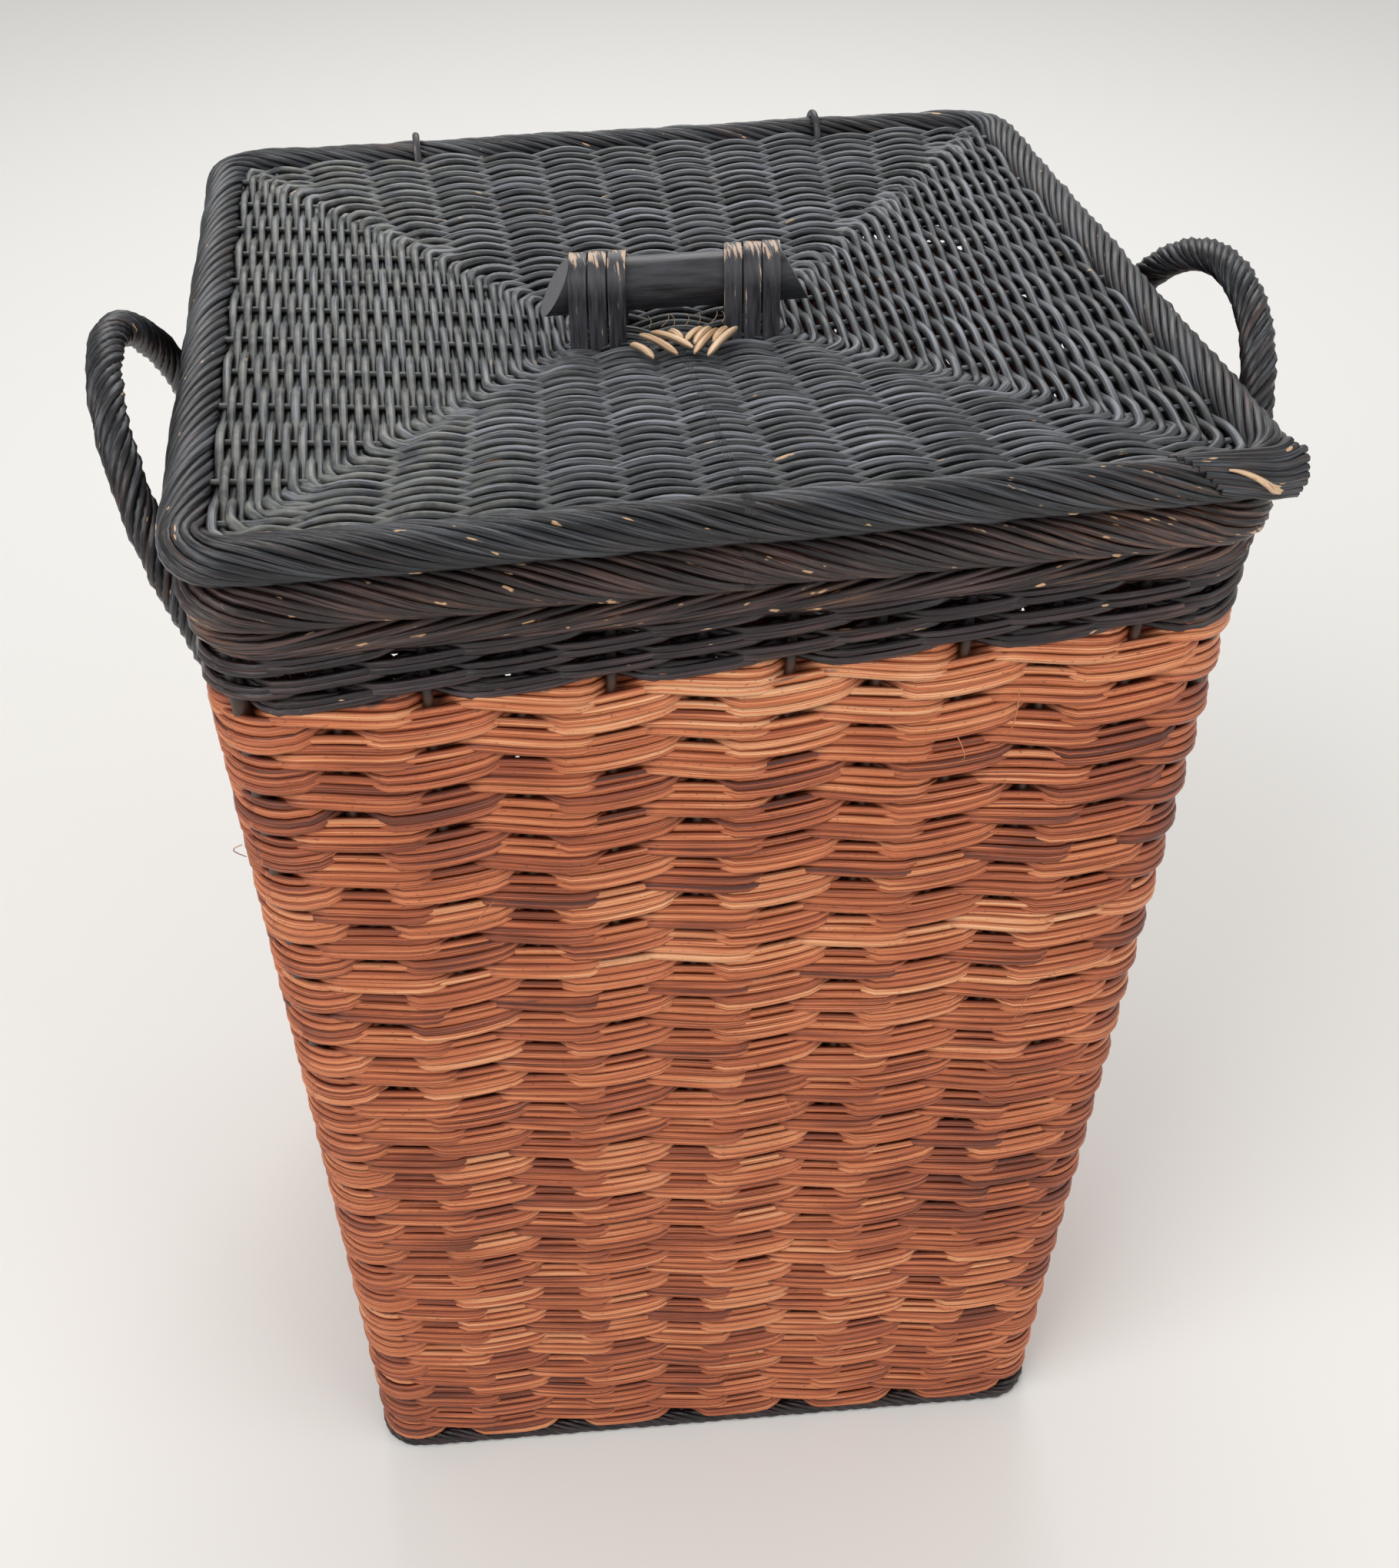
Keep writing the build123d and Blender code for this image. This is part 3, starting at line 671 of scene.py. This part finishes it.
def black_rows():
    """Single canes woven in and out of the stakes in rising pairs, with plain canes inside, above them."""
    start = BROWN_TOP - BLACK_LAP
    pitch = (ROWS_TOP - start) / BLACK_ROWS
    radius = max(LEAST_BLACK_RADIUS, BLACK_ROW_SHARE * pitch)
    canes = Canes()
    for row in range(BLACK_ROWS):
        place = row // 2 % 2
        s = stops_round(place)
        sunk = dive(s, place, BLACK_SHARPNESS)
        z = start + (row + 0.5) * pitch + smooth_wave(s - place, BLACK_ROW_RISE) + wander(s, 0.0003)
        out = -BLACK_ROW_INSET - BLACK_ROW_DEPTH * sunk + (BLACK_PAIR_STEP if row % 2 == 0 else 0.0)
        points, facing = wall_point(s, z, out)
        canes.add(points, facing, radius, chance.uniform(), sunk, closed=True)
    for number in range(INNER_STRANDS):
        s = np.arange(0, ROUND, 0.25)
        z = ROWS_TOP - INNER_DROP + INNER_PITCH * number + wander(s, 0.0003)
        points, facing = wall_point(s, z, -INNER_DEPTH + wander(s, 0.0002))
        # The inner canes get a fixed depth, so they are darkened as painted shade behind the rows.
        canes.add(points, facing, INNER_RADIUS, chance.uniform(), 0.8, closed=True)
    lay("black_rows", canes, "body", BLACK, replaces=("black_band",))


PLAIT_REACH = 3.4
PLAIT_LAP = 0.0020
PLAIT_RISE = 0.0135
PLAIT_EASE = 1.15
PLAIT_DEPTH = 0.0075
PLAIT_SWELL = 0.0072
PLAIT_FULLNESS = 0.6
PLAIT_STEP_OUT = 0.0006
PLAIT_CANE = 0.00175


def follow_on():
    """The plaited border above the black rows: canes that rise to the right, two from each stake."""
    canes = Canes()
    t = np.linspace(0, 1, 22)
    for start in range(ROUND):
        for number in range(2):
            s = start + number * 0.5 + t * PLAIT_REACH
            z = ROWS_TOP - PLAIT_LAP + t ** PLAIT_EASE * PLAIT_RISE + wander(s, 0.0002)
            swell = PLAIT_SWELL * np.sin(math.pi * np.clip(t * PLAIT_EASE, 0, 1)) ** PLAIT_FULLNESS
            out = -PLAIT_DEPTH + swell + PLAIT_STEP_OUT * number
            points, facing = wall_point(s % ROUND, z, out)
            sunk = np.clip(-out / PLAIT_DEPTH, 0, 1)
            canes.add(points, facing, PLAIT_CANE, chance.uniform(), sunk)
    lay("plaited_border", canes, "body", BODY_ROPE, replaces=("follow_on_border",))


# Rolled borders

def border_line(half, corner, z, spacing=0.004):
    """Points of a rounded rectangle, anticlockwise from the middle of the front, with what they face."""
    half_x, half_y = half
    points, faces = [], []

    def straight(start, end, face):
        number = max(2, int(np.linalg.norm(np.subtract(end, start)) / spacing))
        for t in np.arange(number) / number:
            points.append(np.array(start) * (1 - t) + np.array(end) * t)
            faces.append(face)

    def bend(centre, first):
        number = max(4, int(corner * math.pi / 2 / spacing))
        for t in np.arange(number) / number:
            angle = first + t * math.pi / 2
            face = np.array((math.cos(angle), math.sin(angle)))
            points.append(np.array(centre) + corner * face)
            faces.append(face)

    inner_x, inner_y = half_x - corner, half_y - corner
    straight((0, -half_y), (inner_x, -half_y), (0, -1))
    bend((inner_x, -inner_y), -math.pi / 2)
    straight((half_x, -inner_y), (half_x, inner_y), (1, 0))
    bend((inner_x, inner_y), 0)
    straight((inner_x, half_y), (-inner_x, half_y), (0, 1))
    bend((-inner_x, inner_y), math.pi / 2)
    straight((-half_x, inner_y), (-half_x, -inner_y), (-1, 0))
    bend((-inner_x, -inner_y), math.pi)
    straight((-inner_x, -half_y), (0, -half_y), (0, -1))
    points = np.array(points)
    return np.column_stack((points, np.full(len(points), z))), np.column_stack((faces, np.zeros(len(points))))


# How far a rope's core lies inside its surface, in cane radii
CORE_INSET = 1.7


def rope(canes, line, faces, radius, strands, turns, cane_radius, ripple=0.0006):
    """Canes laid round a closed line like a rope: they go from its top over its outer side and under."""
    steps = np.linalg.norm(np.roll(line, -1, axis=0) - line, axis=1)
    travel = np.concatenate(([0.0], np.cumsum(steps)[:-1])) / steps.sum()
    for strand in range(strands):
        angle = 2 * math.pi * (travel * turns + strand / strands)
        reach = radius - cane_radius + chance.uniform(-ripple, ripple)
        away = np.cos(angle)[:, None] * UP + np.sin(angle)[:, None] * faces
        thick = cane_radius * chance.uniform(*CANE_SIZES)
        canes.add(line + away * reach, away, thick, chance.uniform(), closed=True)
    # The core gets full depth, so it is darkened as painted shade between the strands.
    canes.add(line, UP, radius - CORE_INSET * cane_radius, 0.5, 1.0, closed=True)


def rolled_border(low, high, radius, z, strands, turns, cane_radius):
    """A closed rope inside a border's box."""
    canes = Canes()
    half = (high[:2] - low[:2]) / 2 - radius
    line, faces = border_line(half, BORDER_CORNER, z)
    rope(canes, line, faces, radius, strands, turns, cane_radius)
    return canes


def top_border():
    """The body's rim."""
    canes = rolled_border(
        top_border_low, top_border_high, TOP_BORDER_RADIUS, TOP_BORDER_Z,
        strands=15, turns=10, cane_radius=0.00185)
    lay("rolled_top_border", canes, "body", BODY_ROPE, replaces=("top_border",))


def lid_border():
    """The lid's rim."""
    canes = rolled_border(
        lid_border_low, lid_border_high, LID_BORDER_RADIUS, LID_Z,
        strands=14, turns=11, cane_radius=0.00175)
    lay("rolled_lid_border", canes, "lid", ROPE_BLACK, replaces=("lid_border",))


FOOT_PROUD = 0.002


def foot():
    """The black foot, a thin rope below the brown wall with a second one inside it."""
    canes = Canes()
    radius = FOOT_TOP / 2
    for inset in (radius - FOOT_PROUD, WALL + FOOT_PROUD - radius):
        half = (BASE_WIDTH / 2 - inset, BASE_DEPTH / 2 - inset)
        line, faces = border_line(half, BASE_CORNER - inset, radius)
        line[:, :2] = turned(line[:, :2], BASE_TURN)
        faces[:, :2] = turned(faces[:, :2], BASE_TURN)
        rope(canes, line, faces, radius, strands=7, turns=24, cane_radius=0.0015, ripple=0.0002)
    lay("foot_rope", canes, "body", BLACK, replaces=("foot_border",))


# Lid panel

LID_RINGS = 43
INNER_RINGS = 8
SPLIT_RING = 24
COLUMN_PITCH = 0.028
CELL_PITCH = 0.0295
MIDDLE_FAN = 0.86
LID_CANE_RADIUS = 0.00184
LID_STICK_RADIUS = 0.0016
LID_RELIEF = 0.0026
RING_CORNER = 0.007
MOST_CORNER = 0.45
RING_SPACING = 0.0032
MITRE_REACH = 0.014
MITRE_HEIGHTS = (-0.25, 0.45)
MITRE_SWELL = 0.32
STICKS_ASIDE = 6
STICK_END = 1.02


def fan_of(t):
    """How far the columns have spread at a fraction of the way from the middle to the rim."""
    return MIDDLE_FAN + (1 - MIDDLE_FAN) * np.clip(t, 0, 1)


def lid_height(t):
    """Height of the panel's middle layer at a fraction of the way from its middle to its rim."""
    return LID_Z + LID_LIFT - LID_SAG * (1 - np.clip(t, 0, 1) ** SAG_SHAPE)


def lid_ring(number):
    """One square round of a weaver over and under the sticks, how much it swells, and how deep it lies."""
    t = number / LID_RINGS
    half = LID_MIDDLE + t * (LID_RIM - LID_MIDDLE)
    corner = min(RING_CORNER, MOST_CORNER * half.min())
    line, faces = border_line(half, corner, 0.0, RING_SPACING)
    x, y = line[:, 0], line[:, 1]
    on_front = np.abs(faces[:, 1]) > 0.9
    on_side = np.abs(faces[:, 0]) > 0.9
    column = x / (COLUMN_PITCH * fan_of(t))
    cell = y / CELL_PITCH + 0.5
    phase = np.where(on_front, column, cell)
    height = np.cos(math.pi * (phase + number))
    edge = np.where(on_front, half[0] - np.abs(x), half[1] - np.abs(y))
    past_mitre = np.clip(edge / MITRE_REACH, 0, 1)
    past_mitre[~(on_front | on_side)] = 0.0
    height = height * past_mitre + (1 - past_mitre) * MITRE_HEIGHTS[number % 2]
    tremble = 0.0002 * np.sin(phase * 5 + number)
    line[:, 2] = lid_height(t) + LID_RELIEF * height + tremble
    return line, 1 + MITRE_SWELL * (1 - past_mitre), (1 - height) / 2


def lid_weave():
    """The lid's rings in two pieces, so that neither is too heavy."""
    rings = {"inner": range(-INNER_RINGS, SPLIT_RING), "outer": range(SPLIT_RING, LID_RINGS + 1)}
    for word, numbers in rings.items():
        canes = Canes()
        for number in numbers:
            line, swell, sunk = lid_ring(number)
            radius = LID_CANE_RADIUS * chance.uniform(0.93, 1.07)
            canes.add(line, UP, radius * swell, chance.uniform(), sunk * 0.8, closed=True)
        lay(f"lid_weave_{word}", canes, "lid", LID_BLACK)
    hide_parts("lid_panel")


def stick_run(offset, across):
    """Fractions of the way to the rim along a stick, from where it leaves the middle or a mitre."""
    start = max(0.0, (abs(offset) - LID_MIDDLE[across]) / (LID_RIM[across] - LID_MIDDLE[across]))
    return start + (STICK_END - start) * np.linspace(0, 1, 12)


def lid_sticks():
    """Sticks under the weave, from the mitres out to the rim, and across the middle."""
    canes = Canes()
    for side in (-1, 1):
        for number in range(-STICKS_ASIDE, STICKS_ASIDE + 1):
            x = number * COLUMN_PITCH
            run = stick_run(x, 0)
            y = side * (LID_MIDDLE[1] + run * (LID_RIM[1] - LID_MIDDLE[1]))
            line = np.column_stack((x * fan_of(run), y, lid_height(run)))
            canes.add(line, UP, LID_STICK_RADIUS, chance.uniform())
        for number in range(-STICKS_ASIDE, STICKS_ASIDE):
            y = (number + 0.5) * CELL_PITCH
            run = stick_run(y, 1)
            x = side * (LID_MIDDLE[0] + run * (LID_RIM[0] - LID_MIDDLE[0]))
            line = np.column_stack((x, np.full(len(x), y), lid_height(run)))
            canes.add(line, UP, LID_STICK_RADIUS, chance.uniform())
    lay("lid_sticks", canes, "lid", LID_BLACK, replaces=("lid_cross_stakes", "lid_length_stakes"))


# Worn and broken canes of the lid

HANDLE_FAN_Z = 0.5690
HANDLE_FAN_CANE = 0.0017
HANDLE_FAN_ARCH = 0.0012
BACK_DROP = 0.0030
FRONT_DROP = 0.0022
HANDLE_FIBRES = 7
FIBRE_RADIUS = 0.00018

# The two ends of each bare cane, seen from above
HANDLE_FAN = (
    ((-0.023, -0.040), (-0.016, -0.055)),
    ((-0.018, -0.030), (-0.006, -0.052)),
    ((-0.013, -0.029), (0.001, -0.048)),
    ((-0.006, -0.030), (-0.002, -0.040)),
    ((0.008, -0.030), (-0.001, -0.042)),
    ((0.011, -0.030), (0.002, -0.045)),
    ((0.014, -0.030), (0.001, -0.052)),
    ((0.018, -0.030), (0.010, -0.044)),
    ((0.022, -0.030), (0.006, -0.055)),
)


def crossing_canes():
    """Bare canes that cross at the middle of the lid, where the handle has rubbed the paint off."""
    canes = Canes()
    t = np.linspace(0, 1, 9)[:, None]
    taper = np.clip(np.sin(math.pi * (0.08 + 0.84 * t[:, 0])) * 1.6, 0.25, 1.0)
    for back, front in HANDLE_FAN:
        arch = HANDLE_FAN_ARCH * np.sin(math.pi * t)
        lift = arch - BACK_DROP * (1 - t) - FRONT_DROP * t + chance.uniform(-0.0004, 0.0004)
        level = np.array(back) * (1 - t) + np.array(front) * t
        line = np.hstack((level, HANDLE_FAN_Z + lift))
        canes.add(line, UP, HANDLE_FAN_CANE * taper, chance.uniform())
    for fibre in range(HANDLE_FIBRES):
        start = np.array((-0.014 + 0.005 * fibre, -0.029, HANDLE_FAN_Z - 0.001))
        way = np.array((chance.uniform(-0.6, 0.6), 0.3, 0.7)) * 0.006
        curl = np.array((way[1], 0.0, 0.0)) * np.sin(2.4 * t)
        canes.add(start + way * t + curl, np.array((0.0, 1.0, 0.0)), FIBRE_RADIUS, 0.5)
    lay("rubbed_crossing_canes", canes, "lid", BARE)


def corner_strand(t, straight, last_turn, tail, roll, clear):
    """A strand on the lid's border that comes along the front and leaves it at the right corner."""
    bend = BORDER_CORNER - LID_BORDER_RADIUS
    centre = np.array((lid_border_high[0] - BORDER_CORNER, lid_border_low[1] + BORDER_CORNER))
    run = t * (straight + bend * last_turn + tail) - straight
    turn = np.clip(run / bend, 0, last_turn)
    beyond = np.clip(run - bend * last_turn, 0, None)
    out = np.column_stack((np.sin(turn), -np.cos(turn)))
    ahead = np.column_stack((np.cos(turn), np.sin(turn)))
    level = centre + bend * out + ahead * (np.minimum(run, 0) + beyond)[:, None]
    away = np.column_stack((out * np.cos(roll)[:, None], np.sin(roll)))
    line = np.column_stack((level, np.full(len(t), LID_Z)))
    return line + away * (LID_BORDER_RADIUS + clear)[:, None], away


SPLAYED_ENDS = 9
SPLAYED_CANE = 0.0017
KNOT_FIBRES = 7
STRAY_RADIUS = 0.00022

# Where each stray fibre starts, in stake spaces and height, then how long it is and how far it swings
STRAY_FIBRES = (
    (8.6, 0.462, 0.022, 0.05),
    (8.1, 0.452, 0.012, -0.10),
    (9.4, 0.30, 0.015, 0.2),
    (2.2, 0.39, 0.012, 0.3),
    (6.5, 0.25, 0.014, -0.2),
    (43.4, 0.41, 0.010, 0.1),
    (20.2, 0.33, 0.014, 0.2),
    (30.3, 0.41, 0.013, -0.1),
)


def splayed_ends():
    """Cut strand ends that stand clear of the lid's border at its front right corner."""
    canes = Canes()
    t = np.linspace(0, 1, 20)
    clear = -0.0012 + 0.0022 * t ** 2
    for number in range(SPLAYED_ENDS):
        last_roll = math.radians(78 - 15 * number)
        roll = last_roll + math.radians(38) * (1 - t)
        tail = 0.002 + chance.uniform(0, 0.005)
        last_turn = math.radians(52 - 3.5 * number)
        straight = 0.034 - 0.002 * number
        line, away = corner_strand(t, straight, last_turn, tail, roll, clear)
        canes.add(line, away, SPLAYED_CANE * chance.uniform(0.9, 1.1), chance.uniform())
    lay("splayed_strand_ends", canes, "lid", ROPE_BLACK, sides=8)


def torn_knot():
    """Bare fibres where a strand of the lid's border has torn, next to the splayed ends."""
    canes = Canes()
    t = np.linspace(0, 1, 14)
    clear = 0.0008 + 0.0008 * np.sin(math.pi * t)
    thick = 0.0009 * np.sin(math.pi * (0.08 + 0.84 * t)) + 0.0002
    for number in range(KNOT_FIBRES):
        first_roll = math.radians(44 - 3 * number)
        roll = first_roll - math.radians(46) * t ** 1.3
        straight = 0.016 - 0.0015 * number
        line, away = corner_strand(t, straight, math.radians(14), 0.0, roll, clear)
        canes.add(line, away, thick, chance.uniform())
    lay("torn_border_knot", canes, "lid", BARE)


def stray_fibres():
    """Thin fibres that have come loose from the brown canes."""
    canes = Canes()
    t = np.linspace(0, 1, 10)
    out = 0.0022 + 0.004 * np.sin(math.pi * t)
    for spot, height, length, swing in STRAY_FIBRES:
        points, facing = wall_point((spot + swing * t ** 2) % ROUND, height + length * t, out)
        canes.add(points, facing, STRAY_RADIUS, 0.8)
    lay("stray_fibres", canes, "body", BROWN, sides=5)


# Carrying hoops

HOOP_FRONT = -0.1248
HOOP_BACK = 0.0312
HOOP_STAND = 0.198
HOOP_FOOT_Z = 0.504
HOOP_RISE = 0.006
HOOP_TUCK = 0.024
HOOP_LEAN = math.radians(18.0)
HOOP_RADIUS = 0.007
HOOP_STRANDS = 9
HOOP_CANE = 0.0021
HOOP_CORE = 0.0040
HOOP_LAY = 0.052
LEG_STEPS = 8
CROWN_STEPS = 70


def hoop_line(side):
    """Centre line of a hoop from its front foot over its crown to its back foot."""
    radius = (HOOP_BACK - HOOP_FRONT) / 2
    middle = (HOOP_BACK + HOOP_FRONT) / 2
    leg = np.linspace(-HOOP_TUCK, HOOP_RISE, LEG_STEPS + 1)[:-1]
    angle = np.linspace(math.pi, 0, CROWN_STEPS)
    rise = np.concatenate((leg, HOOP_RISE + radius * np.sin(angle), leg[::-1]))
    crown = middle + radius * np.cos(angle)
    x = side * (HOOP_STAND + rise * math.sin(HOOP_LEAN))
    y = np.concatenate((np.full(LEG_STEPS, HOOP_FRONT), crown, np.full(LEG_STEPS, HOOP_BACK)))
    return np.column_stack((x, y, HOOP_FOOT_Z + rise * math.cos(HOOP_LEAN)))


def hoop(side, word):
    """Canes twisted round the hoop's core."""
    canes = Canes()
    line = hoop_line(side)
    along = np.gradient(line, axis=0)
    along /= np.linalg.norm(along, axis=1, keepdims=True)
    flat = np.array((side * math.cos(HOOP_LEAN), 0.0, -math.sin(HOOP_LEAN)))
    across = np.cross(along, flat)
    steps = np.linalg.norm(np.diff(line, axis=0), axis=1)
    travel = np.concatenate(([0.0], np.cumsum(steps)))
    for strand in range(HOOP_STRANDS):
        angle = 2 * math.pi * (travel / HOOP_LAY + strand / HOOP_STRANDS)
        away = np.cos(angle)[:, None] * flat + np.sin(angle)[:, None] * across
        reach = HOOP_RADIUS - HOOP_CANE + chance.uniform(-0.0004, 0.0004)
        canes.add(line + away * reach, away, HOOP_CANE, chance.uniform())
    # The core gets full depth, so it is darkened as painted shade between the strands.
    canes.add(line, flat, HOOP_CORE, 0.5, 1.0)
    lay(f"{word}_hoop_rope", canes, "body", ROPE_BLACK, replaces=(f"{word}_hoop_wrap",))


# Bottom

BASE_ROW_PITCH = 0.0034
BASE_STICK_PITCH = 0.030
BASE_RELIEF = 0.0026
BASE_CANE = 0.0018


def base_weave():
    """The bottom panel: canes laid across, over and under the base sticks."""
    canes = Canes()
    half_x = BASE_WIDTH / 2 - WALL
    half_y = BASE_DEPTH / 2 - WALL
    z_middle = middle_of("base_panel")[2]
    x = np.arange(-half_x, half_x, 0.004)
    for row in range(int(2 * half_y / BASE_ROW_PITCH)):
        y = -half_y + (row + 0.5) * BASE_ROW_PITCH
        height = np.cos(math.pi * (x / BASE_STICK_PITCH + row + 0.5))
        line = np.column_stack((x, np.full(len(x), y), z_middle + BASE_RELIEF * height))
        line[:, :2] = turned(line[:, :2], BASE_TURN)
        # Every bottom cane gets a fixed depth, which darkens it as painted shade.
        canes.add(line, UP, BASE_CANE, chance.uniform(), 0.3)
    lay("bottom_weave", canes, "body", BROWN, replaces=("base_panel",))


brown_weave()
black_rows()
follow_on()
top_border()
lid_border()
foot()
lid_weave()
lid_sticks()
crossing_canes()
splayed_ends()
torn_knot()
stray_fibres()
for hoop_side, hoop_word in ((-1, "left"), (1, "right")):
    hoop(hoop_side, hoop_word)
base_weave()


# Finishes of the frame's own pieces

def dress(material, *nodes):
    """Gives the frame's own pieces a finish."""
    for node in nodes:
        shape = frame["nodes"][node]
        for place in range(len(shape.data.materials)):
            shape.data.materials[place] = material


dress(DOWEL_PAINT, "handle_dowel")
dress(BINDING_PAINT, "handle_binding_left", "handle_binding_right", "hinge_loop_left", "hinge_loop_right")
dress(STICK, "base_stakes", "front_stakes", "back_stakes", "left_stakes", "right_stakes",
      "left_hoop_core", "right_hoop_core")
dress(STICK, *(f"corner_post_{word}" for word in ("front_left", "front_right", "back_left", "back_right")))


# Floor, light and camera

def floor():
    """A wide pale floor under the hamper."""
    reach = 6.0
    corners = [(-reach, -reach, 0), (reach, -reach, 0), (reach, reach, 0), (-reach, reach, 0)]
    mesh = bpy.data.meshes.new("pale_floor")
    mesh.from_pydata(corners, [], [(0, 1, 2, 3)])
    shape = bpy.data.objects.new("pale_floor", mesh)
    bpy.context.scene.collection.objects.link(shape)
    finish = Finish("pale_floor")
    finish.shader.inputs["Base Color"].default_value = srgb(232, 230, 226)
    finish.roughness(0.9)
    mesh.materials.append(finish.material)


def lamp(name, place, aim, size, power):
    """A square soft lamp that faces a point."""
    light = bpy.data.lights.new(name, "AREA")
    light.size = size
    light.energy = power
    shape = bpy.data.objects.new(name, light)
    shape.location = place
    shape.rotation_euler = (Vector(aim) - Vector(place)).to_track_quat("-Z", "Y").to_euler()
    bpy.context.scene.collection.objects.link(shape)


def world(strength, backdrop):
    """Even white light all round, and a plain background behind the floor."""
    sky = bpy.data.worlds.new("soft_room")
    sky.use_nodes = True
    bpy.context.scene.world = sky
    nodes, links = sky.node_tree.nodes, sky.node_tree.links
    back = nodes["Background"]
    back.inputs["Color"].default_value = (1.0, 1.0, 1.0, 1.0)
    path = nodes.new("ShaderNodeLightPath")
    amount = nodes.new("ShaderNodeMapRange")
    amount.inputs["To Min"].default_value = strength
    amount.inputs["To Max"].default_value = backdrop
    links.new(path.outputs["Is Camera Ray"], amount.inputs["Value"])
    links.new(amount.outputs["Result"], back.inputs["Strength"])


def camera():
    """The photograph's camera, worked out from the rims, the base and the hoops."""
    focal_pixels = 2399.2
    frame_height = 2040
    sensor = 36.0
    middle_row = 928.8
    place = Vector((-0.1035, -0.7199, 0.8852))
    yaw, pitch, roll = 0.157, 0.634, 0.005
    ahead = Vector((math.sin(yaw) * math.cos(pitch), math.cos(yaw) * math.cos(pitch), -math.sin(pitch)))
    right = Vector((math.cos(yaw), -math.sin(yaw), 0.0))
    down = ahead.cross(right)
    level = math.cos(roll) * right + math.sin(roll) * down
    plumb = -math.sin(roll) * right + math.cos(roll) * down
    lens = bpy.data.cameras.new("photo_camera")
    lens.sensor_fit = "AUTO"
    lens.sensor_width = sensor
    lens.lens = sensor * focal_pixels / frame_height
    lens.shift_y = (middle_row - frame_height / 2) / frame_height
    shape = bpy.data.objects.new("photo_camera", lens)
    axes = Matrix((level, -plumb, -ahead)).transposed()
    shape.matrix_world = Matrix.Translation(place) @ axes.to_4x4()
    bpy.context.scene.collection.objects.link(shape)
    bpy.context.scene.camera = shape


floor()
lamp("window", (-1.6, -1.2, 2.4), (0.0, 0.0, 0.35), 1.8, 42.0)
lamp("room", (1.8, -1.6, 1.6), (0.0, 0.0, 0.3), 2.0, 18.0)
lamp("back_window", (0.3, 1.8, 2.2), (0.0, 0.0, 0.5), 1.6, 26.0)
world(strength=0.55, backdrop=0.95)
camera()
bpy.context.scene.view_settings.view_transform = "Standard"
